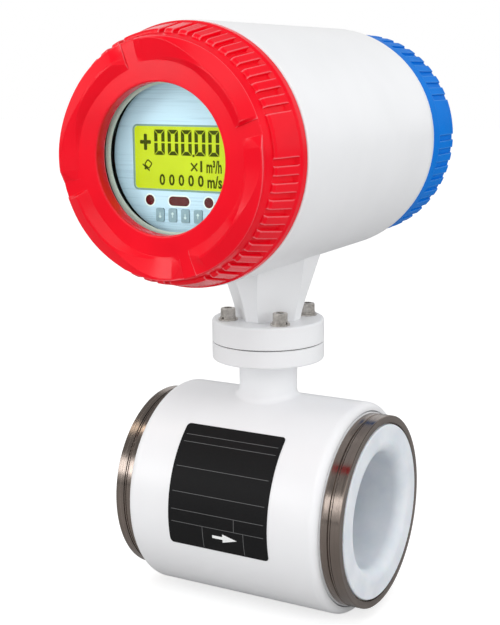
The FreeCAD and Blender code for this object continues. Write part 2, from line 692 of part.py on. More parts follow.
def lug_section(degrees, progress, face_y, outward, face_r):
    """Section of a turning lug. Its crest wanders from the foot's side to the rim along the lug."""
    swing = smooth_step(progress, 0.45, 0.95)
    foot_r = LUG_FOOT_R - LUG_FOOT_DRIFT * (1 - smooth_step(progress, 0.3, 0.7))
    inner_r = LUG_FOOT_R + 4.0 - 2.6 * swing
    inner_h = LUG_HEIGHT * (1 - 0.94 * swing)
    crest_r = LUG_FOOT_R + 5.4 + (face_r - LUG_FOOT_R - 6.8) * swing
    rim_h = 0.3 + 2.2 * swing
    crest_h = LUG_HEIGHT * (1 - 0.3 * swing)
    return lug_wire(degrees, face_y, outward, [
        (foot_r, 0.0),
        (inner_r, inner_h),
        (crest_r, crest_h),
        (face_r - 0.15, rim_h),
    ])


def lug_end_section(degrees, height, foot_r, face_y, outward, face_r):
    """Low, level section from which a lug's head rises or into which its tail sinks."""
    return lug_wire(degrees, face_y, outward, [
        (foot_r, 0.0),
        (foot_r + 3.0, height),
        (foot_r + 6.0, height),
        (face_r - 0.15, height / 2),
    ])


def turning_lugs(face_y, outward, face_r):
    """Four raised lugs on a cover's face, which take the bar that turns it."""
    lugs = []
    steps = 10
    for quarter in range(4):
        start = LUG_START_DEG + quarter * QUARTER_DEG
        ramp = 7.5 if quarter % 2 else 1.6
        main = []
        for step in range(steps + 1):
            degrees = start + ramp + (LUG_SPAN_DEG - ramp) * step / steps
            main.append(lug_section(degrees, (degrees - start) / LUG_SPAN_DEG, face_y, outward, face_r))
        head = lug_end_section(start, LUG_STEP, LUG_FOOT_R - LUG_FOOT_DRIFT, face_y, outward, face_r)
        end = start + LUG_SPAN_DEG + LUG_END_DEG
        tail = lug_end_section(end, 0.05, LUG_FOOT_R, face_y, outward, face_r)
        lugs.append(Part.makeLoft(main, True, False))
        lugs.append(Part.makeLoft([head, main[0]], True, True))
        lugs.append(Part.makeLoft([main[-1], tail], True, True))
    return lugs


def rim_seal_radii(spigot_r):
    inner = spigot_r + FIT_GAP + SEAL_LAND
    return inner, inner + SEAL_WIDTH


def front_cover():
    """Cast window cover: ribbed skirt, coned shoulder, flat face with four twisted lugs."""
    rib_top_r = FRONT_RIM_R - 1.2
    rib_end_r = FRONT_FACE_R + 3.9
    rib_end_y = FRONT_RIM_Y - FRONT_RIB_LENGTH
    root_end_r = rib_end_r - RIB_DEPTH
    bore_r = FRONT_SPIGOT_R + FIT_GAP
    bore_end_y = HOUSING_FRONT_Y - SPIGOT_LENGTH - 1.6
    seat_y = GLASS_Y - GASKET_RUBBER
    pocket_inner = RETAINER_R + SLIP_GAP + 3.0
    pocket_y = FRONT_FACE_Y + 5.0
    profile = [
        (bore_r, FRONT_RIM_Y),
        (FRONT_RIM_R, FRONT_RIM_Y, 0.9),
        (FRONT_RIM_R - 0.1, FRONT_RIM_Y - FRONT_RIDGE, 0.6),
        (rib_top_r, FRONT_RIM_Y - FRONT_RIDGE - 1.6, 0.6),
        (rib_end_r, rib_end_y + RIB_CHAMFER),
        (rib_end_r - RIB_CHAMFER, rib_end_y),
        (root_end_r, rib_end_y),
        (FRONT_FACE_R, FRONT_FACE_Y, 1.0),
        (WINDOW_R, FRONT_FACE_Y, 1.0),
        (WINDOW_R, seat_y),
        (GLASS_R + FIT_GAP, seat_y),
        (GLASS_R + FIT_GAP, RETAINER_Y),
        (RETAINER_R + SLIP_GAP, RETAINER_Y),
        (RETAINER_R + SLIP_GAP, bore_end_y),
        (pocket_inner, bore_end_y),
        (pocket_inner, pocket_y, 2.0),
        (FRONT_FACE_R - 5.5, pocket_y, 3.0),
        (bore_r - 3.5, bore_end_y),
        (bore_r, bore_end_y),
    ]
    body = turned(profile, "Y")
    seal_inner, seal_outer = rim_seal_radii(FRONT_SPIGOT_R)
    groove = tube(seal_outer + SLIP_GAP, seal_inner - SLIP_GAP, FRONT_RIM_Y - SEAL_HEIGHT, FRONT_RIM_Y + 1,
                  "Y")
    body = body.cut(groove)
    slope = (rib_top_r - rib_end_r) / (FRONT_RIB_LENGTH - RIB_CHAMFER - FRONT_RIDGE - 1.6)
    body = cut_ribs(body, [
        (rib_top_r + 0.6, FRONT_RIM_Y - FRONT_RIDGE - 1.4),
        (rib_top_r - RIB_DEPTH - 2 * slope, FRONT_RIM_Y - FRONT_RIDGE - 3.6),
        (root_end_r, rib_end_y - 0.02),
        (root_end_r + 0.1, rib_end_y - 3),
    ])
    return body.fuse(turning_lugs(FRONT_FACE_Y, -1, FRONT_FACE_R)).removeSplitter()


def rear_cover():
    """Cast blind cover: ribs over the whole skirt, the same lugs on its end."""
    end_y = REAR_RIM_Y + REAR_COVER_LENGTH
    rib_top_r = REAR_RIM_R - 0.6
    rib_end_r = REAR_FACE_R + RIB_CHAMFER
    bore_r = REAR_SPIGOT_R + FIT_GAP
    bore_end_y = HOUSING_REAR_Y + SPIGOT_LENGTH + 1.6
    face_inner_y = end_y - 6.0
    face_r = REAR_FACE_R - REAR_RIB_DEPTH - 0.8
    profile = [
        (bore_r, REAR_RIM_Y),
        (REAR_RIM_R, REAR_RIM_Y, 0.9),
        (REAR_RIM_R - 0.1, REAR_RIM_Y + REAR_RIDGE, 0.6),
        (rib_top_r, REAR_RIM_Y + REAR_RIDGE + 1.6, 0.4),
        (rib_end_r, end_y - RIB_CHAMFER),
        (REAR_FACE_R, end_y),
        (0, end_y),
        (0, face_inner_y),
        (bore_r - 5.0, face_inner_y, 3.0),
        (bore_r - 3.5, bore_end_y),
        (bore_r, bore_end_y),
    ]
    body = turned(profile, "Y")
    seal_inner, seal_outer = rim_seal_radii(REAR_SPIGOT_R)
    groove = tube(seal_outer + SLIP_GAP, seal_inner - SLIP_GAP, REAR_RIM_Y - 1, REAR_RIM_Y + SEAL_HEIGHT,
                  "Y")
    body = body.cut(groove)
    body = cut_ribs(body, [
        (rib_top_r + 0.6, REAR_RIM_Y + REAR_RIDGE + 1.4),
        (rib_top_r - REAR_RIB_DEPTH, REAR_RIM_Y + REAR_RIDGE + 3.0),
        (rib_end_r - REAR_RIB_DEPTH, end_y + 2),
    ])
    return body.fuse(turning_lugs(end_y, 1, face_r)).removeSplitter()


def cover_seal(spigot_r, rim_r, rim_y, outward):
    """Rubber ring with its root in the groove of a cover's rim and a flat lip against the housing."""
    inner, outer = rim_seal_radii(spigot_r)
    lip_low = rim_y - outward * (COVER_RIM_GAP - SLIP_GAP)
    lip_high = rim_y - outward * SEAT_GAP
    root_high = rim_y + outward * (SEAL_HEIGHT - SLIP_GAP)
    return turned([
        (inner, lip_low),
        (rim_r - SEAL_INSET, lip_low),
        (rim_r - SEAL_INSET, lip_high),
        (outer, lip_high),
        (outer, root_high),
        (inner, root_high),
    ], "Y")


def window_glass():
    edge = 0.5
    return turned([(0, GLASS_Y), (GLASS_R, GLASS_Y, edge), (GLASS_R, RETAINER_Y, edge), (0, RETAINER_Y)],
                  "Y")


def window_gasket():
    return tube(GLASS_R, WINDOW_R + 0.4, GLASS_Y - GASKET_RUBBER, GLASS_Y, "Y")


def glass_retainer():
    """Threaded ring that holds the glass, with four key slots."""
    inner = WINDOW_R + 1.2
    end_y = RETAINER_Y + RETAINER_THICK
    ring = tube(RETAINER_R, inner, RETAINER_Y, end_y, "Y")
    for quarter in range(4):
        slot = Part.makeBox(RETAINER_R, 2.0, 4.0, Vector(inner - 1, end_y - 1.5, HEAD_Z - 2.0))
        ring = ring.cut(about_head(slot, quarter * QUARTER_DEG + 45))
    return ring


# ================================================================ display and boards
def sensor_places():
    return [(-SENSOR_PITCH, 2 * SENSOR_R), (0, SENSOR_SLOT), (SENSOR_PITCH, 2 * SENSOR_R)]


def key_places():
    return [(index - 1.5) * KEY_PITCH for index in range(4)]


def sensor_pill(centre_x, width, grow, start_y, end_y):
    """Round-ended window shape for an optical sensor."""
    height = 2 * SENSOR_R + 2 * grow
    if width > 2 * SENSOR_R:
        slot_height = height * 0.88
        return rounded_block(width + 2 * grow, slot_height, slot_height / 2 - 0.05, centre_x,
                             HEAD_Z + SENSOR_Z, start_y, end_y)
    return cylinder(SENSOR_R + grow, Vector(centre_x, start_y, HEAD_Z + SENSOR_Z), Y_AXIS, end_y - start_y)


def display_plate():
    """Printed metal disc behind the window, pierced for the screen, sensors and keys."""
    plate = cylinder(DISPLAY_R, Vector(0, DISPLAY_FACE_Y, HEAD_Z), Y_AXIS, DISPLAY_SHEET)
    front, back = DISPLAY_FACE_Y - 1, DISPLAY_BACK_Y + 1
    plate = plate.cut(rounded_block(LCD_WIDTH, LCD_HEIGHT, LCD_CORNER_R, LCD_X, HEAD_Z + LCD_Z, front, back))
    for x, width in sensor_places():
        plate = plate.cut(sensor_pill(x, width, SEAT_GAP, front, back))
    for x in key_places():
        plate = plate.cut(rounded_block(KEY_WIDTH + 2 * SLIP_GAP, KEY_HEIGHT + 2 * SLIP_GAP, KEY_CORNER_R, x,
                                        HEAD_Z + KEY_Z, front, back))
    return plate


def lcd_module():
    """Screen block: a raised glass in the plate's opening on a wider frame behind it."""
    glass = rounded_block(LCD_WIDTH - 2 * SEAT_GAP, LCD_HEIGHT - 2 * SEAT_GAP, LCD_CORNER_R, LCD_X,
                          HEAD_Z + LCD_Z, DISPLAY_FACE_Y + 0.5, DISPLAY_BACK_Y + LCD_DEPTH)
    frame = rounded_block(LCD_WIDTH + 2 * LCD_FRAME, LCD_HEIGHT + 2 * LCD_FRAME, LCD_CORNER_R, LCD_X,
                          HEAD_Z + LCD_Z, DISPLAY_BACK_Y + SEAT_GAP, DISPLAY_BACK_Y + LCD_DEPTH)
    return glass.fuse(frame).removeSplitter()


def sensor_windows():
    front = DISPLAY_FACE_Y + 0.1
    return group([sensor_pill(x, width, 0, front, DISPLAY_BACK_Y) for x, width in sensor_places()])


def display_key(x):
    """Key cap that stands a little proud of the plate, with a foot that keeps it in."""
    foot_front = DISPLAY_BACK_Y + SEAT_GAP
    cap = rounded_block(KEY_WIDTH, KEY_HEIGHT, KEY_CORNER_R, x, HEAD_Z + KEY_Z, DISPLAY_FACE_Y - KEY_PROUD,
                        foot_front + KEY_FOOT)
    foot = rounded_block(KEY_WIDTH + 1.6, KEY_HEIGHT + 1.6, KEY_CORNER_R, x, HEAD_Z + KEY_Z, foot_front,
                         foot_front + KEY_FOOT)
    return cap.fuse(foot).removeSplitter()


def key_switches():
    """Small switches on the display board behind the keys."""
    front = DISPLAY_BACK_Y + SEAT_GAP + KEY_FOOT + KEY_TRAVEL + SLIP_GAP
    blocks = [rounded_block(4.5, 4.5, 0.4, x, HEAD_Z + KEY_Z, front, DISPLAY_BOARD_Y) for x in key_places()]
    return group(blocks)


def board(radius, front_y):
    """Round circuit board, cleared round the pillars."""
    body = cylinder(radius, Vector(0, front_y, HEAD_Z), Y_AXIS, BOARD_THICK)
    for x in (-PILLAR_OFFSET, PILLAR_OFFSET):
        for z in (-PILLAR_OFFSET, PILLAR_OFFSET):
            hole = cylinder(PILLAR_R + SEAT_GAP, Vector(x, front_y - 1, HEAD_Z + z), Y_AXIS, BOARD_THICK + 2)
            body = body.cut(hole)
    return body


def board_parts(front_y, blocks):
    """Blocks standing on a board, fused to it: (x, z, width, height, depth)."""
    body = board(BOARD_R, front_y)
    for x, z, width, height, depth in blocks:
        body = body.fuse(Part.makeBox(width, depth, height,
                                      Vector(x - width / 2, front_y - depth, HEAD_Z + z - height / 2)))
    return body.removeSplitter()


def main_board():
    return board_parts(MAIN_BOARD_Y, [(0, 8, 22, 22, 3), (-14, -34, 18, 12, 5), (36, 2, 10, 30, 6),
                                      (-38, 4, 8, 20, 4)])


def power_board():
    return board_parts(POWER_BOARD_Y, [(0, 0, 34, 30, 20), (32, -2, 14, 14, 18), (-32, 4, 14, 14, 18),
                                       (0, -40, 30, 10, 12)])


def display_tray():
    """Black moulded cup that carries the display plate and its board."""
    inner_r = DISPLAY_R + SLIP_GAP
    outer_r = inner_r + TRAY_WALL
    shelf_r = DISPLAY_R - 1.2
    front_y = DISPLAY_FACE_Y + 0.4
    tray = turned([
        (0, TRAY_BACK_Y),
        (outer_r, TRAY_BACK_Y),
        (outer_r, front_y, 0.5),
        (inner_r, front_y),
        (inner_r, DISPLAY_BACK_Y + SEAT_GAP),
        (shelf_r, DISPLAY_BACK_Y + SEAT_GAP),
        (shelf_r, TRAY_BACK_Y - 2.0),
        (0, TRAY_BACK_Y - 2.0),
    ], "Y")
    for x in (-PILLAR_OFFSET, PILLAR_OFFSET):
        for z in (-PILLAR_OFFSET, PILLAR_OFFSET):
            tray = tray.cut(cylinder(PILLAR_R / 2 + SEAT_GAP, Vector(x, TRAY_BACK_Y - 5, HEAD_Z + z), Y_AXIS,
                                     10))
    return tray


def board_pillars():
    """Hexagonal stand-offs from the partition through both boards to the display tray."""
    pillars = []
    for x in (-PILLAR_OFFSET, PILLAR_OFFSET):
        for z in (-PILLAR_OFFSET, PILLAR_OFFSET):
            base = Vector(x, PARTITION_Y, HEAD_Z + z)
            body = cylinder(PILLAR_R, base, Vector(0, -1, 0), PARTITION_Y - TRAY_BACK_Y)
            pin = cylinder(PILLAR_R / 2, Vector(x, TRAY_BACK_Y, HEAD_Z + z), Vector(0, -1, 0), 2.0)
            pillars.append(body.fuse(pin))
    return group(pillars)


# ================================================================ terminals and glands
def terminal_block():
    """Stepped terminal strip with a screw well and a wire mouth at each pole."""
    low_z = HEAD_Z - TERMINAL_DROP
    back = PARTITION_BACK_Y
    corner = Vector(-TERMINAL_WIDTH / 2, back, low_z)
    body = Part.makeBox(TERMINAL_WIDTH, TERMINAL_DEPTH, TERMINAL_HEIGHT, corner)
    pitch = TERMINAL_WIDTH / TERMINAL_COUNT
    for pole in range(TERMINAL_COUNT):
        x = (pole - (TERMINAL_COUNT - 1) / 2) * pitch
        well_base = Vector(x, back + TERMINAL_DEPTH - TERMINAL_WELL_DEPTH, low_z + TERMINAL_WELL_RISE)
        well = cylinder(3.6, well_base, Y_AXIS, TERMINAL_WELL_DEPTH + 1)
        mouth = Part.makeBox(6, 9, 5, Vector(x - 3, back + 5, low_z - 1))
        body = body.cut(well).cut(mouth)
    return body


def terminal_screws():
    screws = []
    pitch = TERMINAL_WIDTH / TERMINAL_COUNT
    for pole in range(TERMINAL_COUNT):
        x = (pole - (TERMINAL_COUNT - 1) / 2) * pitch
        seat = Vector(x, PARTITION_BACK_Y + TERMINAL_DEPTH - TERMINAL_WELL_DEPTH,
                      HEAD_Z - TERMINAL_DROP + TERMINAL_WELL_RISE)
        head = cylinder(3.0, seat, Y_AXIS, 3.0)
        slot = Part.makeBox(8, 1.4, 0.9, seat + Vector(-4, 1.8, -0.45))
        screws.append(head.cut(slot))
    return group(screws)


def ground_screw():
    """Pan-head earthing screw with its washer, on the rear side of the partition."""
    seat = Vector(0, PARTITION_BACK_Y, HEAD_Z + GROUND_SCREW_RISE)
    washer = cylinder(5.0, seat, Y_AXIS, 1.0)
    head = cylinder(3.8, seat, Y_AXIS, 4.0)
    slot = Part.makeBox(9, 1.6, 1.1, seat + Vector(-4.5, 2.8, -0.55))
    return washer.fuse(head).cut(slot).removeSplitter()


def gland_body(y):
    """Threaded gland body: thread in the boss, hexagon outside, collar for the cap nut."""
    outward = Vector(-1, 0, 0)
    face = Vector(-GLAND_BOSS_X, y, HEAD_Z)
    inner_x = HOUSING_REAR_R - HOUSING_WALL - 2.0
    thread = cylinder(GLAND_THREAD_R, Vector(-inner_x, y, HEAD_Z), outward, GLAND_BOSS_X - inner_x)
    hexa = hexagon(GLAND_HEX_R, face, outward, GLAND_FLANGE)
    collar = cylinder(GLAND_THREAD_R - 0.5, face, outward, GLAND_FLANGE + 9.0)
    bore = cylinder(GLAND_BORE_R + GLAND_SEAL_WALL, Vector(0, y, HEAD_Z), outward,
                    GLAND_BOSS_X + GLAND_FLANGE + 20)
    return thread.fuse([hexa, collar]).cut(bore).removeSplitter()


def gland_seal(y):
    """Rubber insert that grips the cable, showing at the gland's mouth."""
    start = -GLAND_BOSS_X - 1.0
    end = -GLAND_BOSS_X - GLAND_FLANGE - GLAND_NUT_LENGTH + 1.0
    seal = tube(GLAND_BORE_R + GLAND_SEAL_WALL - SEAT_GAP, GLAND_BORE_R, start, end, "X")
    seal.translate(Vector(0, y, HEAD_Z))
    return seal


def gland_nut(y):
    """Domed cap nut with a hexagonal grip."""
    start = GLAND_BOSS_X + GLAND_FLANGE
    outward = Vector(-1, 0, 0)
    grip = hexagon(GLAND_HEX_R - 0.4, Vector(-start - SEAT_GAP, y, HEAD_Z), outward, 0.6 * GLAND_NUT_LENGTH)
    dome_r = GLAND_HEX_R * 0.86
    dome = turned([(0, -start - SEAT_GAP), (dome_r, -start - SEAT_GAP),
                   (dome_r, -start - GLAND_NUT_LENGTH, 5.0), (0, -start - GLAND_NUT_LENGTH)], "X")
    dome.translate(Vector(0, y, HEAD_Z))
    cavity = cylinder(GLAND_THREAD_R - 0.5 + SEAT_GAP, Vector(-start, y, HEAD_Z), outward, 9.5)
    bore = cylinder(GLAND_BORE_R + GLAND_SEAL_WALL, Vector(-start, y, HEAD_Z), outward, 2 * GLAND_NUT_LENGTH)
    return grip.fuse(dome).cut(cavity).cut(bore).removeSplitter()


# ================================================================ all pieces
def build():
    parts = {
        "measuring_tube": measuring_tube(),
        "inlet_ring": end_ring(-1),
        "outlet_ring": end_ring(1),
        "liner": liner(),
        "electrode_front": electrode(-1),
        "electrode_rear": electrode(1),
        "electrode_bush_front": electrode_bush(-1),
        "electrode_bush_rear": electrode_bush(1),
        "electrode_nut_front": electrode_nut(-1),
        "electrode_nut_rear": electrode_nut(1),
        "pole_piece_upper": pole_piece(1),
        "pole_piece_lower": pole_piece(-1),
        "coil_upper": coil(1),
        "coil_lower": coil(-1),
        "magnet_yoke": yoke(),
        "sensor_casing": sensor_casing(),
        "inlet_end_plate": end_plate(-1),
        "outlet_end_plate": end_plate(1),
        "nameplate": nameplate(),
        "flange_gasket": flange_gasket(),
        "flange_bolts": group([flange_bolt(x, y) for x, y in BOLT_PLACES]),
        "flange_washers": group([flange_washer(x, y) for x, y in BOLT_PLACES]),
        "spring_washers": group([spring_washer(x, y) for x, y in BOLT_PLACES]),
        "converter_housing": housing(),
        "front_cover": front_cover(),
        "front_cover_seal": cover_seal(FRONT_SPIGOT_R, FRONT_RIM_R, FRONT_RIM_Y, -1),
        "window_glass": window_glass(),
        "window_gasket": window_gasket(),
        "glass_retainer": glass_retainer(),
        "rear_cover": rear_cover(),
        "rear_cover_seal": cover_seal(REAR_SPIGOT_R, REAR_RIM_R, REAR_RIM_Y, 1),
        "display_plate": display_plate(),
        "display_tray": display_tray(),
        "lcd_module": lcd_module(),
        "sensor_windows": sensor_windows(),
        "display_board": board(DISPLAY_BOARD_R, DISPLAY_BOARD_Y),
        "key_switches": key_switches(),
        "main_board": main_board(),
        "power_board": power_board(),
        "board_pillars": board_pillars(),
        "terminal_block": terminal_block(),
        "terminal_screws": terminal_screws(),
        "ground_screw": ground_screw(),
    }
    for name, x in zip(("key_back", "key_down", "key_up", "key_enter"), key_places()):
        parts[name] = display_key(x)
    for number, y in enumerate(GLAND_YS, start=1):
        parts["gland_body_%d" % number] = gland_body(y)
        parts["gland_seal_%d" % number] = gland_seal(y)
        parts["gland_nut_%d" % number] = gland_nut(y)
    return parts


os.makedirs("parts", exist_ok=True)
for node, shape in build().items():
    shape.exportStep(os.path.join("parts", node + ".step"))
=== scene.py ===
"""Finishes, printed display, nameplate print, threads and studio for an electromagnetic flow meter."""
import json
import math

import bpy
from mathutils import Matrix, Vector


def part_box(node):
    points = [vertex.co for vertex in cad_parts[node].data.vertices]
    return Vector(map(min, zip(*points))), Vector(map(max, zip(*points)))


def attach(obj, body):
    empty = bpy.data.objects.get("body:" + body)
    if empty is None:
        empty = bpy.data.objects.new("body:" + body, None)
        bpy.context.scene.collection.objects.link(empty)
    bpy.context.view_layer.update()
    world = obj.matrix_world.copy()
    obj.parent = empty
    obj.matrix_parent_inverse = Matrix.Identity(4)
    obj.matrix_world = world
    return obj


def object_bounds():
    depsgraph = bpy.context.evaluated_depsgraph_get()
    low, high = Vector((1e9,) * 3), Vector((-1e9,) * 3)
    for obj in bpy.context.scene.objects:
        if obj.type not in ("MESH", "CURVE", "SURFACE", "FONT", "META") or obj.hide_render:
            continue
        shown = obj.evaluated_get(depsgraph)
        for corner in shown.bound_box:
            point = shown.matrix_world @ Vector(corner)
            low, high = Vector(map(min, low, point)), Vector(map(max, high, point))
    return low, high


bl_info = {
    "name": "Electromagnetic flow meter dressing",
    "version": (1, 0, 0),
    "blender": (4, 5, 0),
    "location": "View3D > Sidebar > Flow meter",
    "description": "Finishes, display, nameplate, threads and studio for the packed flow meter",
    "category": "Object",
}

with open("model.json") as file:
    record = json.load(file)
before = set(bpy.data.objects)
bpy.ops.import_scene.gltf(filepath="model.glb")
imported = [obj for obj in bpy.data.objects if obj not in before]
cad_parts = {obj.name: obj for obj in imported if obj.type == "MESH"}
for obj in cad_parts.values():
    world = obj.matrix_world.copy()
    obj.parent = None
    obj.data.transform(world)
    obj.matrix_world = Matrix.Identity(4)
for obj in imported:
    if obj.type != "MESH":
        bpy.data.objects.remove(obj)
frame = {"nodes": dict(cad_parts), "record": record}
CAD_BOX = [list(corner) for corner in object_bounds()]
MM = 0.001
QUARTER_TURN = math.radians(90)


def node_box(name):
    """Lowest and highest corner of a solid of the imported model."""
    low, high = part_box(name)
    return Vector(low), Vector(high)


def node_points(name):
    """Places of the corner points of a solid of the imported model."""
    piece = frame["nodes"][name]
    return [piece.matrix_world @ vertex.co for vertex in piece.data.vertices]


PLATE_LOW, PLATE_HIGH = node_box("display_plate")
LCD_LOW, LCD_HIGH = node_box("lcd_module")
NAMEPLATE_LOW, NAMEPLATE_HIGH = node_box("nameplate")
SENSOR_LOW, SENSOR_HIGH = node_box("sensor_windows")
HOUSING_LOW, HOUSING_HIGH = node_box("converter_housing")
GLASS_HIGH = node_box("window_glass")[1]
HEAD_Z = (PLATE_LOW.z + PLATE_HIGH.z) / 2      # height of the head's axis
CASING_R = -node_box("sensor_casing")[0].z
NAMEPLATE_R = max(point.yz.length for point in node_points("nameplate"))
SPIGOT_TIP = 1.0 * MM     # stretch at each threaded end of the housing that its radius is read from
FRONT_SPIGOT_R = max(abs(point.x) for point in node_points("converter_housing")
                     if point.y < HOUSING_LOW.y + SPIGOT_TIP)
REAR_SPIGOT_R = max(abs(point.x) for point in node_points("converter_housing")
                    if point.y > HOUSING_HIGH.y - SPIGOT_TIP)
THREAD_START = 11.4 * MM  # from a threaded end in to where its thread starts

LCD_FRAME = 2.0 * MM      # hidden rim of the screen block round its glass
SCREEN_GAP = 0.02 * MM    # between the screen's glass and its figures, so that both show cleanly
PRINT_GAP = 0.01 * MM     # the same between a plate or key and its print

# The screen's layout: places across from its left edge, rows down from its top edge.
LARGE_ROW, MIDDLE_ROW, LOWER_ROW = 9.5 * MM, 23.0 * MM, 31.6 * MM
LARGE_NOUGHTS = (17.8 * MM, 27.3 * MM, 36.7 * MM, 46.1 * MM, 55.5 * MM)
SIGN_X = 7.8 * MM
POINT_X = 41.5 * MM
BELL_X = 9.5 * MM
SMALL_NOUGHT_X = 19.3 * MM
SMALL_NOUGHT_PITCH = 6.75 * MM

# The nameplate's print: places across from its middle, heights in degrees round the casing.
DIVIDER_DEGREES = (45.0, 40.7, 27.0, 13.6, 4.1, -2.8)
CELL_LINES = ((-11.0 * MM, -15.0, -3.0), (20.0 * MM, -15.0, -3.0), (13.0 * MM, -2.6, 3.9))
ARROW_DEGREES = -7.4

# The camera: degrees round from the front and down from the level, and a slight roll.
CAMERA_PLACE = (0.39921, -0.73084, 0.29485)
CAMERA_ROUND, CAMERA_DOWN, CAMERA_ROLL = 29.497, 11.288, -0.446
LENS_MM = 89.316
SENSOR_MM = 36.0


# ---------------------------------------------------------------- colours and nodes
def srgb(code):
    """Hex colour as it looks on a screen, turned to linear light."""
    values = [int(code[start:start + 2], 16) / 255 for start in (1, 3, 5)]
    return tuple(v / 12.92 if v <= 0.04045 else ((v + 0.055) / 1.055) ** 2.4 for v in values)


def add_node(tree, kind, settings=None, inputs=None):
    """Add a node, set its properties, and set or link its inputs; a node stands for its first output."""
    node = tree.nodes.new(kind)
    for key, value in (settings or {}).items():
        setattr(node, key, value)
    for key, value in (inputs or {}).items():
        if isinstance(value, bpy.types.Node):
            value = value.outputs[0]
        if isinstance(value, bpy.types.NodeSocket):
            tree.links.new(value, node.inputs[key])
        else:
            node.inputs[key].default_value = value
    return node


def new_material(name):
    """Empty node material with its shader and output."""
    material = bpy.data.materials.new(name)
    material.use_nodes = True
    tree = material.node_tree
    tree.nodes.clear()
    shader = add_node(tree, "ShaderNodeBsdfPrincipled")
    add_node(tree, "ShaderNodeOutputMaterial", inputs={"Surface": shader.outputs[0]})
    return material, tree, shader


def set_shader(shader, **values):
    """Set constant values straight on the shader's sockets, named with underscores for spaces."""
    for key, value in values.items():
        shader.inputs[key.replace("_", " ")].default_value = value


def set_surface(tree, surface):
    """Send a mixed surface to the material's output in place of the plain shader."""
    output = next(node for node in tree.nodes if node.type == "OUTPUT_MATERIAL")
    tree.links.new(surface, output.inputs["Surface"])


def rgba(colour):
    """Colour with full opacity, as a socket takes it."""
    return (*colour, 1.0)


def tone(colour, share):
    """The same colour, darker or lighter."""
    return tuple(value * share for value in colour)


def grain(size_mm):
    """Scale at which a noise pattern's grains are this many millimetres across."""
    return 1.0 / (size_mm * MM)


def set_stops(ramp, stops):
    """Give a ramp node its stops, each a position from 0 to 1 and a colour."""
    marks = ramp.color_ramp.elements
    while len(marks) < len(stops):
        marks.new(0.5)
    for mark, (position, colour) in zip(marks, stops):
        mark.position = position
        mark.color = rgba(colour)


def surface_pattern(tree, shader, tones, roughness, relief, edge_mm=0.0, span=(0.35, 0.65)):
    """Let grey patterns drive a finish, each given with its two limits: the tones of the colour, the
    roughness, and a relief with its depth in millimetres and its strength. An edge radius rounds sharp
    edges off for the light, and span is the stretch of the pattern over which the tones change. Returns
    the colour."""
    ramp = add_node(tree, "ShaderNodeValToRGB", inputs={"Fac": tones[0]})
    set_stops(ramp, ((span[0], tones[1]), (span[1], tones[2])))
    tree.links.new(ramp.outputs["Color"], shader.inputs["Base Color"])
    dullness = add_node(tree, "ShaderNodeMapRange", inputs={
        "Value": roughness[0], "From Min": 0.3, "From Max": 0.7,
        "To Min": roughness[1], "To Max": roughness[2]})
    tree.links.new(dullness.outputs[0], shader.inputs["Roughness"])
    bump = {"Height": relief[0], "Distance": relief[1] * MM, "Strength": relief[2]}
    if edge_mm:
        bump["Normal"] = add_node(tree, "ShaderNodeBevel", {"samples": 4}, {"Radius": edge_mm * MM})
    tree.links.new(add_node(tree, "ShaderNodeBump", inputs=bump).outputs[0], shader.inputs["Normal"])
    return ramp.outputs["Color"]


# ---------------------------------------------------------------- finishes
def powder_coat(name, colour, shade, roughness, gloss, edge_mm, painted_highlight=None, painted_highlight_strength=0.0):
    """Sprayed and baked polyester powder coat: an even colour, a slight orange peel and a soft gloss. A
    painted highlight colour, when given, is laid as a paler line along the outward edges, where a glossy coat
    would catch the light."""
    material, tree, shader = new_material(name)
    where = add_node(tree, "ShaderNodeTexCoord").outputs["Object"]
    peel = add_node(tree, "ShaderNodeTexNoise", inputs={"Vector": where, "Scale": grain(1.1), "Detail": 1.0})
    cloud = add_node(tree, "ShaderNodeTexNoise", inputs={
        "Vector": where, "Scale": grain(45.0), "Detail": 2.0})
    set_shader(shader, IOR=1.5, Specular_IOR_Level=gloss)
    tint = surface_pattern(tree, shader, (cloud, shade, colour), (cloud, roughness - 0.03, roughness + 0.03),
                           (peel, 0.012, 0.4), edge_mm)
    # Painted highlight: the paler colour is mixed into the base colour wherever ambient occlusion, looking
    # into the piece, finds an outward edge.
    if painted_highlight:
        depth = add_node(tree, "ShaderNodeAmbientOcclusion",
                         {"inside": True, "only_local": True, "samples": 8}, {"Distance": 2 * edge_mm * MM})
        edges = add_node(tree, "ShaderNodeMapRange", inputs={
            "Value": depth.outputs["AO"], "From Min": 0.45, "From Max": 0.85, "To Min": painted_highlight_strength,
            "To Max": 0.0})
        highlighted_tint = add_node(tree, "ShaderNodeMix", {"data_type": "RGBA"}, {
            "Factor": edges, "A": tint, "B": rgba(painted_highlight)})
        tree.links.new(highlighted_tint.outputs["Result"], shader.inputs["Base Color"])
    return material


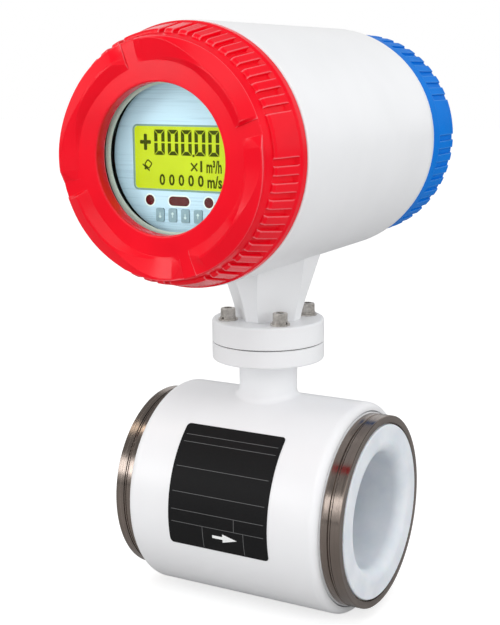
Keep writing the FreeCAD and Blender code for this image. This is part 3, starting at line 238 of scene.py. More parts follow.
def turned_stainless(name, colour, shade, roughness):
    """Stainless steel from the lathe: fine marks that run round the pipe's axis, on rims and faces. They are
    drawn coarser than the tool leaves them, so that they show."""
    material, tree, shader = new_material(name)
    where = add_node(tree, "ShaderNodeTexCoord").outputs["Object"]
    parts = add_node(tree, "ShaderNodeSeparateXYZ", inputs={"Vector": where}).outputs
    flat = add_node(tree, "ShaderNodeCombineXYZ", inputs={"X": parts["Y"], "Y": parts["Z"]})
    radius = add_node(tree, "ShaderNodeVectorMath", {"operation": "LENGTH"}, {0: flat}).outputs["Value"]
    turned = add_node(tree, "ShaderNodeCombineXYZ", inputs={"X": parts["X"], "Y": radius})
    marks = add_node(tree, "ShaderNodeTexNoise", inputs={
        "Vector": turned, "Scale": grain(0.45), "Detail": 3.0})
    bands = add_node(tree, "ShaderNodeTexNoise", inputs={
        "Vector": turned, "Scale": grain(2.6), "Detail": 1.0})
    cloud = add_node(tree, "ShaderNodeTexNoise", inputs={
        "Vector": where, "Scale": grain(30.0), "Detail": 2.0})
    both = add_node(tree, "ShaderNodeMath", {"operation": "ADD"}, {0: bands, 1: cloud})
    mean = add_node(tree, "ShaderNodeMath", {"operation": "MULTIPLY"}, {0: both, 1: 0.5})
    set_shader(shader, Metallic=1.0, Anisotropic=0.5)
    surface_pattern(tree, shader, (mean, shade, colour), (marks, roughness - 0.06, roughness + 0.08),
                    (marks, 0.012, 0.5), edge_mm=0.25)
    return material


def plated_metal(name, colour, roughness):
    """Plated, rolled or anodised metal: an even sheen with a faint bloom, brightest as zinc or nickel."""
    material, tree, shader = new_material(name)
    where = add_node(tree, "ShaderNodeTexCoord").outputs["Object"]
    bloom = add_node(tree, "ShaderNodeTexNoise", inputs={"Vector": where, "Scale": grain(1.6), "Detail": 3.0})
    set_shader(shader, Metallic=1.0)
    surface_pattern(tree, shader, (bloom, tone(colour, 0.72), colour), (bloom, roughness, roughness + 0.14),
                    (bloom, 0.01, 0.3), edge_mm=0.3)
    return material


def moulded(name, colour, roughness, grain_mm=0.35, depth_mm=0.01):
    """Moulded plastic or rubber: one colour with the fine spark texture of the mould."""
    material, tree, shader = new_material(name)
    where = add_node(tree, "ShaderNodeTexCoord").outputs["Object"]
    spark = add_node(tree, "ShaderNodeTexNoise", inputs={
        "Vector": where, "Scale": grain(grain_mm), "Detail": 2.0})
    set_shader(shader, IOR=1.5)
    surface_pattern(tree, shader, (spark, tone(colour, 0.85), colour),
                    (spark, roughness - 0.04, roughness + 0.06), (spark, depth_mm, 0.5))
    return material


def fluoroplastic(name, colour, shade):
    """Moulded and skived PTFE: milky white, waxy, lit a little from inside."""
    material, tree, shader = new_material(name)
    where = add_node(tree, "ShaderNodeTexCoord").outputs["Object"]
    cloud = add_node(tree, "ShaderNodeTexNoise", inputs={
        "Vector": where, "Scale": grain(18.0), "Detail": 3.0})
    wax = add_node(tree, "ShaderNodeTexNoise", inputs={"Vector": where, "Scale": grain(2.0), "Detail": 2.0})
    set_shader(shader, IOR=1.38, Subsurface_Weight=0.12, Subsurface_Scale=0.004)
    surface_pattern(tree, shader, (cloud, shade, colour), (wax, 0.34, 0.46), (wax, 0.02, 0.3))
    return material


def printed_film(name, colour):
    """Black anodised plate under a matt film: deep black with a faint sheen."""
    material, tree, shader = new_material(name)
    where = add_node(tree, "ShaderNodeTexCoord").outputs["Object"]
    fine = add_node(tree, "ShaderNodeTexNoise", inputs={"Vector": where, "Scale": grain(0.6), "Detail": 2.0})
    set_shader(shader, IOR=1.5, Specular_IOR_Level=0.12)
    surface_pattern(tree, shader, (fine, colour, tone(colour, 1.5)), (fine, 0.48, 0.56), (fine, 0.005, 0.4))
    return material


def brushed_print(name, colour, shade):
    """Pale blue ink over aluminium brushed from side to side: long horizontal streaks, drawn coarser than a
    brush leaves them, so that they show."""
    material, tree, shader = new_material(name)
    where = add_node(tree, "ShaderNodeTexCoord").outputs["Object"]
    along_x = add_node(tree, "ShaderNodeMapping", inputs={"Vector": where, "Scale": (0.02, 1.0, 1.0)})
    streaks = add_node(tree, "ShaderNodeTexNoise", inputs={
        "Vector": along_x, "Scale": grain(0.9), "Detail": 2.0})
    set_shader(shader, IOR=1.5, Specular_IOR_Level=0.3)
    surface_pattern(tree, shader, (streaks, shade, colour), (streaks, 0.38, 0.5), (streaks, 0.01, 0.4),
                    span=(0.28, 0.5))
    return material


def lit_screen(name, colour, shade):
    """Back-lit liquid crystal glass: yellow-green light, slightly uneven across the glass."""
    material, tree, shader = new_material(name)
    where = add_node(tree, "ShaderNodeTexCoord").outputs["Object"]
    cloud = add_node(tree, "ShaderNodeTexNoise", inputs={
        "Vector": where, "Scale": grain(22.0), "Detail": 1.0})
    ramp = add_node(tree, "ShaderNodeValToRGB", inputs={"Fac": cloud})
    set_stops(ramp, ((0.35, shade), (0.65, colour)))
    set_shader(shader, Base_Color=rgba(tone(colour, 0.3)), Roughness=0.4, Emission_Strength=0.62,
               Specular_IOR_Level=0.2)
    tree.links.new(ramp.outputs["Color"], shader.inputs["Emission Color"])
    return material


def window_pane(name, colour):
    """Toughened glass with a coating that keeps glare down, so the display reads clearly."""
    material, tree, shader = new_material(name)
    set_shader(shader, Base_Color=rgba(colour), Roughness=0.02, IOR=1.08, Transmission_Weight=1.0)
    rays = add_node(tree, "ShaderNodeLightPath")
    clear = add_node(tree, "ShaderNodeBsdfTransparent", inputs={"Color": rgba(colour)})
    mix = add_node(tree, "ShaderNodeMixShader", inputs={
        0: rays.outputs["Is Shadow Ray"], 1: shader, 2: clear})
    set_surface(tree, mix.outputs[0])
    return material


def circuit_board(name, colour, copper, row_mm=3.1818):
    """Glass-fibre board under green solder mask, with rows of copper tracks showing paler beneath."""
    material, tree, shader = new_material(name)
    where = add_node(tree, "ShaderNodeTexCoord").outputs["Object"]
    facing = add_node(tree, "ShaderNodeMapping", inputs={"Vector": where, "Rotation": (QUARTER_TURN, 0, 0)})
    row_height = 0.35
    tracks = add_node(tree, "ShaderNodeTexBrick", {"offset": 0.5}, {
        "Vector": facing, "Scale": row_height / (row_mm * MM), "Row Height": row_height, "Brick Width": 1.6,
        "Mortar Size": 0.035, "Color1": rgba(colour), "Color2": rgba(colour), "Mortar": rgba(copper)})
    set_shader(shader, Roughness=0.35, IOR=1.5)
    tree.links.new(tracks.outputs["Color"], shader.inputs["Base Color"])
    return material


def wound_copper(name, colour, shade, turn_mm=1.0472):
    """Enamelled copper wire, wound in layers: ridges that run round the coil, drawn coarser than the wire."""
    material, tree, shader = new_material(name)
    where = add_node(tree, "ShaderNodeTexCoord").outputs["Object"]
    band_at_scale_one = math.tau / 20
    turns = add_node(tree, "ShaderNodeTexWave", {"bands_direction": "Z"}, {
        "Vector": where, "Scale": band_at_scale_one / (turn_mm * MM), "Distortion": 0.3})
    ramp = add_node(tree, "ShaderNodeValToRGB", inputs={"Fac": turns.outputs["Fac"]})
    set_stops(ramp, ((0.35, shade), (0.65, colour)))
    ridges = add_node(tree, "ShaderNodeBump", inputs={
        "Height": turns.outputs["Fac"], "Distance": 0.1 * MM, "Strength": 0.8})
    set_shader(shader, Metallic=0.8, Roughness=0.35)
    tree.links.new(ramp.outputs["Color"], shader.inputs["Base Color"])
    tree.links.new(ridges.outputs[0], shader.inputs["Normal"])
    return material


def screen_ink(name, colour, roughness=0.5):
    """Printed ink, the dark of a liquid crystal or ground glass: a flat colour, its film slightly uneven."""
    material, tree, shader = new_material(name)
    where = add_node(tree, "ShaderNodeTexCoord").outputs["Object"]
    film = add_node(tree, "ShaderNodeTexNoise", inputs={"Vector": where, "Scale": grain(0.8), "Detail": 2.0})
    ramp = add_node(tree, "ShaderNodeValToRGB", inputs={"Fac": film})
    set_stops(ramp, ((0.35, tone(colour, 0.9)), (0.65, colour)))
    set_shader(shader, Roughness=roughness, IOR=1.45, Specular_IOR_Level=0.1)
    tree.links.new(ramp.outputs["Color"], shader.inputs["Base Color"])
    return material


def colour_prop(name, description, code):
    """Colour that a user can change, from its hex code."""
    return bpy.props.FloatVectorProperty(name=name, description=description, subtype="COLOR", size=3,
                                         min=0.0, max=1.0, default=srgb(code))


class FlowMeterFinish(bpy.types.PropertyGroup):
    """Colours of the meter's finishes."""
    casing_white: colour_prop("Casing white", "Powder coat of the casing and the housing", "#EFF0F2")
    cover_red: colour_prop("Window cover red", "Powder coat of the front cover", "#F4001F")
    cover_blue: colour_prop("Blind cover blue", "Powder coat of the rear cover", "#0078DA")
    ring_steel: colour_prop("Ring steel", "Turned stainless steel of the clamping rings", "#9C9088")
    lining_white: colour_prop("Lining white", "Fluoroplastic of the liner", "#E6EAEF")
    plate_black: colour_prop("Nameplate black", "Film of the nameplate", "#141415")
    display_blue: colour_prop("Display blue", "Ink of the display plate", "#C8DCF2")
    screen_green: colour_prop("Screen green", "Back light of the screen", "#DDE81C")
    crystal_dark: colour_prop("Crystal dark", "Dark parts of the screen", "#3E4400")


class FlowMeterSizes(bpy.types.PropertyGroup):
    """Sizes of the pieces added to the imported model."""
    digit_height: bpy.props.FloatProperty(name="Digit height", description="Height of the large digits",
                                          default=15.0 * MM, unit="LENGTH")
    digit_width: bpy.props.FloatProperty(name="Digit width", description="Width of a large digit",
                                         default=7.4 * MM, unit="LENGTH")
    stroke: bpy.props.FloatProperty(name="Stroke", description="Width of a large digit's strokes",
                                    default=2.35 * MM, unit="LENGTH")
    ink_thickness: bpy.props.FloatProperty(name="Ink thickness", description="Thickness of printed marks",
                                           default=0.05 * MM, unit="LENGTH")
    border_width: bpy.props.FloatProperty(name="Border width", description="Width of the screen's border",
                                          default=1.1 * MM, unit="LENGTH")
    outline_width: bpy.props.FloatProperty(name="Outline width",
                                           description="Width of the lines round the optical windows",
                                           default=0.8 * MM, unit="LENGTH")
    divider: bpy.props.FloatProperty(name="Divider", description="Width of the nameplate's dividing lines",
                                     default=0.35 * MM, unit="LENGTH")
    arrow_length: bpy.props.FloatProperty(name="Arrow length", description="Length of the flow arrow's head",
                                          default=10.8 * MM, unit="LENGTH")
    arrow_height: bpy.props.FloatProperty(name="Arrow height", description="Height of the flow arrow's head",
                                          default=6.0 * MM, unit="LENGTH")
    glass_edge: bpy.props.FloatProperty(name="Glass edge", description="Width of the glass's ground edge",
                                        default=3.8 * MM, unit="LENGTH")
    thread_pitch: bpy.props.FloatProperty(name="Thread pitch", description="Pitch of the covers' threads",
                                          default=2.0 * MM, unit="LENGTH")
    thread_height: bpy.props.FloatProperty(name="Thread height", description="Height of a thread's ridge",
                                           default=0.24 * MM, unit="LENGTH")
    thread_turns: bpy.props.IntProperty(name="Thread turns", description="Turns of thread on each spigot",
                                        default=5, min=1)
    floor_size: bpy.props.FloatProperty(name="Floor size", description="Side of the studio floor",
                                        default=12.0, unit="LENGTH")


# ---------------------------------------------------------------- modelling helpers
def deselect():
    """Leave edit mode and let go of every object."""
    if bpy.context.mode != "OBJECT":
        bpy.ops.object.mode_set(mode="OBJECT")
    bpy.ops.object.select_all(action="DESELECT")


def select_only(pieces):
    """Select these pieces alone, the first one active."""
    deselect()
    for piece in pieces:
        piece.select_set(True)
    bpy.context.view_layer.objects.active = pieces[0]


def settle(piece):
    """Put the piece's place into its mesh, so its object sits unturned at the origin."""
    select_only([piece])
    bpy.ops.object.transform_apply(location=True, rotation=True, scale=True)


def join(pieces, name):
    """One object out of several, settled at the origin."""
    for piece in pieces:
        settle(piece)
    select_only(pieces)
    if len(pieces) > 1:
        bpy.ops.object.join()
    piece = bpy.context.view_layer.objects.active
    piece.name = name
    return piece


def dress(piece, material, body):
    """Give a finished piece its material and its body."""
    piece.data.materials.clear()
    piece.data.materials.append(material)
    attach(piece, body)


def tile(width, height, corner, thick):
    """Thin rounded tile that faces -Y, its back at y = 0, bevelled at its corners."""
    deselect()
    bpy.ops.mesh.primitive_plane_add(size=1.0, rotation=(QUARTER_TURN, 0, 0))
    piece = bpy.context.object
    piece.scale = (width, height, 1.0)
    settle(piece)
    bpy.ops.object.mode_set(mode="EDIT")
    bpy.ops.mesh.select_all(action="SELECT")
    if corner > 0:
        bpy.ops.mesh.bevel(offset=min(corner, 0.499 * min(width, height)), segments=4, affect="VERTICES")
        bpy.ops.mesh.select_all(action="SELECT")
    bpy.ops.mesh.extrude_region_move(TRANSFORM_OT_translate={"value": (0, -thick, 0)})
    bpy.ops.mesh.select_all(action="SELECT")
    bpy.ops.mesh.normals_make_consistent(inside=False)
    bpy.ops.object.mode_set(mode="OBJECT")
    return piece


def cut_out(piece, cutter):
    """Cut one piece out of another and drop the cutter."""
    cut = piece.modifiers.new("opening", "BOOLEAN")
    cut.operation = "DIFFERENCE"
    cut.object = cutter
    cut.solver = "EXACT"
    select_only([piece])
    bpy.ops.object.modifier_apply(modifier=cut.name)
    bpy.data.objects.remove(cutter, do_unlink=True)
    return piece


def ring_tile(width, height, corner, line, thick):
    """Thin rounded frame line: a tile inset and emptied in the middle."""
    piece = tile(width, height, corner, thick)
    inner = tile(width - 2 * line, height - 2 * line, max(corner - line, 0.0002), 3 * thick)
    inner.location.y = thick
    settle(inner)
    return cut_out(piece, inner)


def place(piece, x, y, z, turn_y=0.0):
    """Move a piece made round the origin to its place, turned in the display's plane."""
    piece.location = (x, y, z)
    piece.rotation_euler = (0, turn_y, 0)
    settle(piece)
    return piece


def copy_at(piece, x, y, z, turn_y=0.0):
    """Copy with a mesh of its own, moved and turned in the display's plane."""
    twin = piece.copy()
    twin.data = piece.data.copy()
    bpy.context.collection.objects.link(twin)
    return place(twin, x, y, z, turn_y)


def lettering(text, start_x, end_x, centre_z, height, face_y, thick, weight=0.0):
    """Plain figures or a unit, fitted between two places along X and to a height, looking along -Y."""
    deselect()
    bpy.ops.object.text_add(rotation=(QUARTER_TURN, 0, 0))
    piece = bpy.context.object
    piece.data.body = text
    piece.data.offset = weight
    piece.data.extrude = 0.5
    piece.data.resolution_u = 3
    bpy.ops.object.convert(target="MESH")
    piece = bpy.context.object
    settle(piece)
    low = Vector([min(corner[axis] for corner in piece.bound_box) for axis in range(3)])
    high = Vector([max(corner[axis] for corner in piece.bound_box) for axis in range(3)])
    piece.location = -(low + high) / 2
    settle(piece)
    piece.scale = ((end_x - start_x) / (high.x - low.x), thick, height / (high.z - low.z))
    settle(piece)
    return place(piece, (start_x + end_x) / 2, face_y, centre_z)


# ---------------------------------------------------------------- screen
def segment(long_side, short_side, stroke, thick):
    """Thin tapering bar that faces -Y, its long side at the top: a four-sided cone, flattened."""
    deselect()
    bpy.ops.mesh.primitive_cone_add(vertices=4, radius1=short_side / math.sqrt(2),
                                    radius2=long_side / math.sqrt(2), depth=stroke,
                                    rotation=(0, 0, math.radians(45)))
    piece = bpy.context.object
    settle(piece)
    piece.scale.y = thick / long_side
    settle(piece)
    return piece


def digit_segments(width, height, stroke, thick):
    """The six lit segments of a nought: four mitred bars, the upright ones parted at half height."""
    gap = 0.22 * stroke
    level = segment(width - gap, width - gap - 2 * stroke, stroke, thick)
    upright = segment(height - gap, height - gap - 2 * stroke, stroke, thick)
    side = (width - stroke) / 2
    top = (height - stroke) / 2
    pieces = [copy_at(level, 0, 0, top), copy_at(level, 0, 0, -top, math.pi),
              copy_at(upright, side, 0, 0, QUARTER_TURN), copy_at(upright, -side, 0, 0, -QUARTER_TURN)]
    bpy.data.objects.remove(upright, do_unlink=True)
    bpy.data.objects.remove(level, do_unlink=True)
    parting = tile(2 * width, 1.6 * gap, 0, 4 * thick)
    return cut_out(join(pieces, "digit"), place(parting, 0, 2 * thick, 0))


def alarm_bell(thick):
    """Small outlined bell, upright, with its lip and clapper below."""
    body = ring_tile(4.6 * MM, 4.6 * MM, 1.2 * MM, 0.8 * MM, thick)
    lip = tile(6.4 * MM, 0.9 * MM, 0.3 * MM, thick)
    clapper = tile(1.5 * MM, 1.5 * MM, 0.6 * MM, thick)
    place(lip, 0, 0, -2.6 * MM)
    place(clapper, 0, 0, -3.4 * MM)
    return join([body, lip, clapper], "bell")


def large_reading(sizes, left, row, face_y):
    """Five large noughts, the point and the plus sign."""
    thick = sizes.ink_thickness
    digit = digit_segments(sizes.digit_width, sizes.digit_height, sizes.stroke, thick)
    pieces = [copy_at(digit, left + x, face_y, row) for x in LARGE_NOUGHTS]
    bpy.data.objects.remove(digit, do_unlink=True)
    point = tile(1.4 * MM, 1.4 * MM, 0.2 * MM, thick)
    level_bar = tile(7.9 * MM, 2.3 * MM, 0.7 * MM, thick)
    upright_bar = tile(2.3 * MM, 9.7 * MM, 0.7 * MM, thick)
    pieces.append(place(point, left + POINT_X, face_y, row - 7.4 * MM))
    pieces.append(place(level_bar, left + SIGN_X, face_y, row))
    pieces.append(place(upright_bar, left + SIGN_X, face_y - thick / 4, row))
    return join(pieces, "large_reading")


def small_reading(sizes, left, middle_row, lower_row, face_y):
    """Factor and units, five small noughts and the bell."""
    thick = sizes.ink_thickness
    pieces = []
    bold = 0.03
    for text, start, end, centre_z, height, weight in (
            ("\u00d7", 39.3, 44.4, middle_row - 0.5 * MM, 5.4, 0.0),
            ("1", 46.0, 47.5, middle_row, 6.6, 0.0),
            ("m\u00b3/h", 50.3, 60.7, middle_row, 7.6, bold),
            ("m/s", 50.8, 60.8, lower_row - 0.3 * MM, 7.4, bold)):
        pieces.append(lettering(text, left + start * MM, left + end * MM, centre_z, height * MM, face_y,
                                thick, weight))
    for number in range(5):
        middle = left + SMALL_NOUGHT_X + number * SMALL_NOUGHT_PITCH
        pieces.append(lettering("0", middle - 2 * MM, middle + 2 * MM, lower_row, 6.8 * MM, face_y,
                                thick, bold))
    pieces.append(place(alarm_bell(thick), left + BELL_X, face_y, middle_row + 0.4 * MM, math.radians(38)))
    return join(pieces, "small_reading")


class FLOWMETER_OT_finishes(bpy.types.Operator):
    """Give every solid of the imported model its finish"""
    bl_idname = "flowmeter.finishes"
    bl_label = "Finishes"

    def execute(self, context):
        colours = context.scene.flow_meter_finish
        white = tuple(colours.casing_white)
        steel = tuple(colours.ring_steel)
        # One finish for each material slot of the record.
        finishes = {
            "tube_steel": turned_stainless("drawn_stainless_tube", srgb("#A9A49E"), srgb("#8A8580"), 0.34),
            "ring_steel": turned_stainless("turned_stainless_ring", steel, tone(steel, 0.7), 0.2),
            "liner_white": fluoroplastic("moulded_ptfe", tuple(colours.lining_white), srgb("#DBE1E8")),
            "electrode_steel": turned_stainless("ground_stainless", srgb("#B4B0AC"), srgb("#99948F"), 0.22),
            "zinc_steel": plated_metal("bright_zinc_plate", srgb("#D6D1CB"), 0.3),
            "bare_iron": plated_metal("rolled_soft_iron", srgb("#77746F"), 0.45),
            "copper_winding": wound_copper("enamelled_copper_wire", srgb("#C0673A"), srgb("#7A3818")),
            "cream_paint": powder_coat("white_powder_coat", white, tone(white, 0.975),
                                       roughness=0.32, gloss=0.4, edge_mm=0.6),
            "plate_black": printed_film("black_nameplate_film", tuple(colours.plate_black)),
            "black_rubber": moulded("black_nitrile_rubber", srgb("#161616"), 0.6,
                                    grain_mm=0.5, depth_mm=0.02),
            # The red and blue coats take a painted highlight, a paler colour laid along their outward edges.
            "red_paint": powder_coat("red_powder_coat", tuple(colours.cover_red), srgb("#E8001D"),
                                     roughness=0.22, gloss=0.2, edge_mm=0.7, painted_highlight=srgb("#FF929B"),
                                     painted_highlight_strength=0.8),
            "blue_paint": powder_coat("blue_powder_coat", tuple(colours.cover_blue), srgb("#0072D2"),
                                      roughness=0.4, gloss=0.02, edge_mm=0.7, painted_highlight=srgb("#6FB4F0"),
                                      painted_highlight_strength=0.5),
            "clear_glass": window_pane("toughened_glass", srgb("#F2FAF6")),
            "black_anodised": plated_metal("black_anodised_aluminium", srgb("#1C1C1D"), 0.4),
            "display_blue": brushed_print("pale_blue_brushed_print", tuple(colours.display_blue),
                                          srgb("#B4CBE2")),
            "black_plastic": moulded("black_abs", srgb("#141415"), 0.45),
            "lcd_grey": lit_screen("backlit_screen_glass", tuple(colours.screen_green), srgb("#CFDB14")),
            "sensor_red": moulded("dark_red_acrylic", srgb("#5A0F15"), 0.12, grain_mm=0.8, depth_mm=0.002),
            "board_green": circuit_board("green_solder_mask", srgb("#0B5A2E"), srgb("#2C7A48")),
            "key_grey": moulded("grey_silicone_key", srgb("#93A9B9"), 0.5, grain_mm=0.4),
            "gland_nickel": plated_metal("nickel_plated_brass", srgb("#B8B2A8"), 0.22),
        }
        for entry in frame["record"]["subparts"]:
            piece = frame["nodes"][entry["node"]]
            finish = finishes[entry["material_slot"]]
            if not piece.material_slots:
                piece.data.materials.append(finish)
            for slot in piece.material_slots:
                slot.material = finish
        return {"FINISHED"}


class FLOWMETER_OT_screen(bpy.types.Operator):
    """Draw the screen's reading: sign, large digits, small digits, bell and units"""
    bl_idname = "flowmeter.screen"
    bl_label = "Screen reading"

    def execute(self, context):
        sizes = context.scene.flow_meter_sizes
        face_y = LCD_LOW.y - SCREEN_GAP
        left = LCD_LOW.x + LCD_FRAME
        top = LCD_HIGH.z - LCD_FRAME
        crystal = screen_ink("liquid_crystal_dark", tuple(context.scene.flow_meter_finish.crystal_dark))
        large = large_reading(sizes, left, top - LARGE_ROW, face_y)
        dress(large, crystal, "meter")
        small = small_reading(sizes, left, top - MIDDLE_ROW, top - LOWER_ROW, face_y)
        dress(small, crystal, "meter")
        return {"FINISHED"}


# ---------------------------------------------------------------- display plate
def screen_border(sizes, face_y):
    """Line round the screen's glass."""
    middle = (LCD_LOW + LCD_HIGH) / 2
    line = sizes.border_width
    width = LCD_HIGH.x - LCD_LOW.x - 2 * LCD_FRAME + 2 * line
    height = LCD_HIGH.z - LCD_LOW.z - 2 * LCD_FRAME + 2 * line
    border = place(ring_tile(width, height, 3.4 * MM, line, sizes.ink_thickness), middle.x, face_y, middle.z)
    border.name = "screen_border"
    return border


def window_outlines(sizes, face_y):
    """Lines round the three optical windows: two round ones with a wide slot between them."""
    middle_z = (SENSOR_LOW.z + SENSOR_HIGH.z) / 2
    across = SENSOR_HIGH.z - SENSOR_LOW.z
    pitch = (SENSOR_HIGH.x - SENSOR_LOW.x - across) / 2
    line = sizes.outline_width
    outlines = []
    for x, width, height in ((-pitch, across, across), (0.0, 14.7 * MM, 0.88 * across),
                             (pitch, across, across)):
        outer_height = height + 2 * line
        outline = ring_tile(width + 2 * line, outer_height, outer_height / 2, line, sizes.ink_thickness)
        outlines.append(place(outline, x, face_y, middle_z))
    return join(outlines, "window_outlines")


def key_mark(key, end, thick):
    """Short upright bar on a key, with a diamond at its upper end (1) or its lower end (-1)."""
    low, high = node_box(key)
    centre = (low + high) / 2
    face_y = low.y - PRINT_GAP
    bar = place(tile(0.5 * MM, 2.6 * MM, 0.1 * MM, thick), centre.x, face_y, centre.z)
    diamond = tile(1.5 * MM, 1.5 * MM, 0, thick)
    place(diamond, centre.x, face_y - thick / 4, centre.z + end * 1.0 * MM, math.radians(45))
    return join([bar, diamond], key + "_mark")


class FLOWMETER_OT_display_print(bpy.types.Operator):
    """Print the display plate: screen border, outlines of the optical windows, marks on the keys"""
    bl_idname = "flowmeter.display_print"
    bl_label = "Display print"

    def execute(self, context):
        sizes = context.scene.flow_meter_sizes
        face_y = PLATE_LOW.y - PRINT_GAP
        dress(screen_border(sizes, face_y), screen_ink("grey_border_ink", srgb("#86A09C")), "meter")
        dress(window_outlines(sizes, face_y), screen_ink("white_outline_ink", srgb("#F4F7F8")), "meter")
        marks_ink = screen_ink("pale_key_ink", srgb("#DDE8EE"))
        for key, end in (("key_back", -1), ("key_down", 1), ("key_up", -1), ("key_enter", 1)):
            dress(key_mark(key, end, sizes.ink_thickness), marks_ink, key)
        return {"FINISHED"}


# ---------------------------------------------------------------- nameplate
def on_nameplate(piece, x, degrees, lift=0.0):
    """Lay a tile on the curved nameplate at an angle above the level, measured from -Y."""
    piece.location = (x, -NAMEPLATE_R - lift, 0)
    settle(piece)
    piece.rotation_euler = (-math.radians(degrees), 0, 0)
    settle(piece)
    return piece


def arrow_head(length, height, thick):
    """Thin triangle that points along +X, its back at y = 0: an equal-sided one, 1.5 long, stretched."""
    deselect()
    bpy.ops.mesh.primitive_circle_add(vertices=3, radius=1.0, fill_type="NGON", rotation=(QUARTER_TURN, 0, 0))
    piece = bpy.context.object
    settle(piece)
    piece.rotation_euler = (0, QUARTER_TURN, 0)
    settle(piece)
    piece.scale = (length / 1.5, 1.0, height / math.sqrt(3))
    settle(piece)
    bpy.ops.object.mode_set(mode="EDIT")
    bpy.ops.mesh.select_all(action="SELECT")
    bpy.ops.mesh.extrude_region_move(TRANSFORM_OT_translate={"value": (0, -thick, 0)})
    bpy.ops.mesh.select_all(action="SELECT")
    bpy.ops.mesh.normals_make_consistent(inside=False)
    bpy.ops.object.mode_set(mode="OBJECT")
    return piece


def nameplate_dividers(sizes):
    """Lines across the nameplate and up between its cells, these in short runs that follow the curve."""
    thick = sizes.ink_thickness
    width = NAMEPLATE_HIGH.x - NAMEPLATE_LOW.x - 5.0 * MM
    middle = (NAMEPLATE_HIGH.x + NAMEPLATE_LOW.x) / 2
    lines = [on_nameplate(tile(width, sizes.divider, 0, thick), middle, degrees)
             for degrees in DIVIDER_DEGREES]
    runs = 5
    overlap = 1.02
    for x, low, high in CELL_LINES:
        run = (high - low) / runs
        length = math.radians(run) * CASING_R * overlap
        for number in range(runs):
            lines.append(on_nameplate(tile(sizes.divider, length, 0, thick), x, low + (number + 0.5) * run))
    return join(lines, "nameplate_dividers")


def flow_arrow(sizes):
    """Plain arrow that shows the flow's direction, its head a hair above its shaft."""
    thick = sizes.ink_thickness
    shaft = on_nameplate(tile(8.5 * MM, 2.0 * MM, 0, thick), 0.75 * MM, ARROW_DEGREES)
    head = on_nameplate(arrow_head(sizes.arrow_length, sizes.arrow_height, thick), 7.9 * MM, ARROW_DEGREES,
                        thick / 4)
    return join([shaft, head], "flow_arrow")


class FLOWMETER_OT_nameplate_print(bpy.types.Operator):
    """Print the nameplate: dividing lines, cells and the arrow that shows the flow's direction"""
    bl_idname = "flowmeter.nameplate_print"
    bl_label = "Nameplate print"

    def execute(self, context):
        sizes = context.scene.flow_meter_sizes
        divider_ink = screen_ink("grey_divider_ink", srgb("#6A6B6C"))
        dress(nameplate_dividers(sizes), divider_ink, "meter")
        dress(flow_arrow(sizes), screen_ink("white_plate_ink", srgb("#F2F4F4")), "meter")
        return {"FINISHED"}


# ---------------------------------------------------------------- glass edge and threads
def open_tube(radius, width, middle_y):
    """Open wall round the head's axis."""
    deselect()
    bpy.ops.mesh.primitive_cylinder_add(vertices=96, radius=radius, depth=width, end_fill_type="NOTHING",
                                        location=(0, middle_y, HEAD_Z), rotation=(QUARTER_TURN, 0, 0))
    return bpy.context.object


def spigot_thread(sizes, radius, start_y, direction, name):
    """Helical ridge round a spigot, from a triangle swept by the Screw modifier, run towards -Y or +Y."""
    deselect()
    bpy.ops.mesh.primitive_circle_add(vertices=3, radius=0.5, fill_type="NOTHING")
    piece = bpy.context.object
    piece.scale = (2 * sizes.thread_height, 0.55 * sizes.thread_pitch, 1.0)
    settle(piece)
    piece.rotation_euler = (QUARTER_TURN, 0, 0)
    settle(piece)
    piece.location = (radius, 0, 0)
    settle(piece)
    sweep = piece.modifiers.new("sweep", "SCREW")
    sweep.axis = "Z"
    sweep.screw_offset = sizes.thread_pitch
    sweep.iterations = sizes.thread_turns
    sweep.steps = 72
    sweep.render_steps = 72
    sweep.use_merge_vertices = False
    select_only([piece])
    bpy.ops.object.modifier_apply(modifier=sweep.name)
    bpy.ops.object.mode_set(mode="EDIT")
    bpy.ops.mesh.select_all(action="DESELECT")
    bpy.ops.mesh.select_mode(type="VERT")
    bpy.ops.mesh.select_non_manifold()
    bpy.ops.mesh.fill()
    bpy.ops.mesh.select_all(action="SELECT")
    bpy.ops.mesh.normals_make_consistent(inside=False)
    bpy.ops.object.mode_set(mode="OBJECT")
    piece.rotation_euler = (-direction * QUARTER_TURN, 0, 0)
    settle(piece)
    piece.location = (0, start_y, HEAD_Z)
    settle(piece)
    piece.name = name
    return piece


class FLOWMETER_OT_glass_edge(bpy.types.Operator):
    """Add the ground green edge of the window's glass"""
    bl_idname = "flowmeter.glass_edge"
    bl_label = "Glass edge"

    def execute(self, context):
        outer = GLASS_HIGH.x - 0.6 * MM
        inner = outer - context.scene.flow_meter_sizes.glass_edge
        thick = 0.3 * MM
        middle_y = GLASS_HIGH.y - 0.5 * MM
        ring = join([open_tube(outer, thick, middle_y), open_tube(inner, thick, middle_y)], "glass_edge")
        bpy.ops.object.mode_set(mode="EDIT")
        bpy.ops.mesh.select_all(action="SELECT")
        bpy.ops.mesh.bridge_edge_loops()
        bpy.ops.mesh.select_all(action="SELECT")
        bpy.ops.mesh.normals_make_consistent(inside=False)
        bpy.ops.object.mode_set(mode="OBJECT")
        dress(ring, screen_ink("ground_glass_edge", srgb("#D5E4DA"), 0.7), "front_cover")
        return {"FINISHED"}


class FLOWMETER_OT_threads(bpy.types.Operator):
    """Run the covers' threads round the housing's two spigots"""
    bl_idname = "flowmeter.threads"
    bl_label = "Spigot threads"

    def execute(self, context):
        sizes = context.scene.flow_meter_sizes
        finish = frame["nodes"]["converter_housing"].material_slots[0].material
        for name, radius, start_y, direction in (
                ("front_spigot_thread", FRONT_SPIGOT_R, HOUSING_LOW.y + THREAD_START, -1),
                ("rear_spigot_thread", REAR_SPIGOT_R, HOUSING_HIGH.y - THREAD_START, 1)):
            dress(spigot_thread(sizes, radius, start_y, direction, name), finish, "meter")
        return {"FINISHED"}


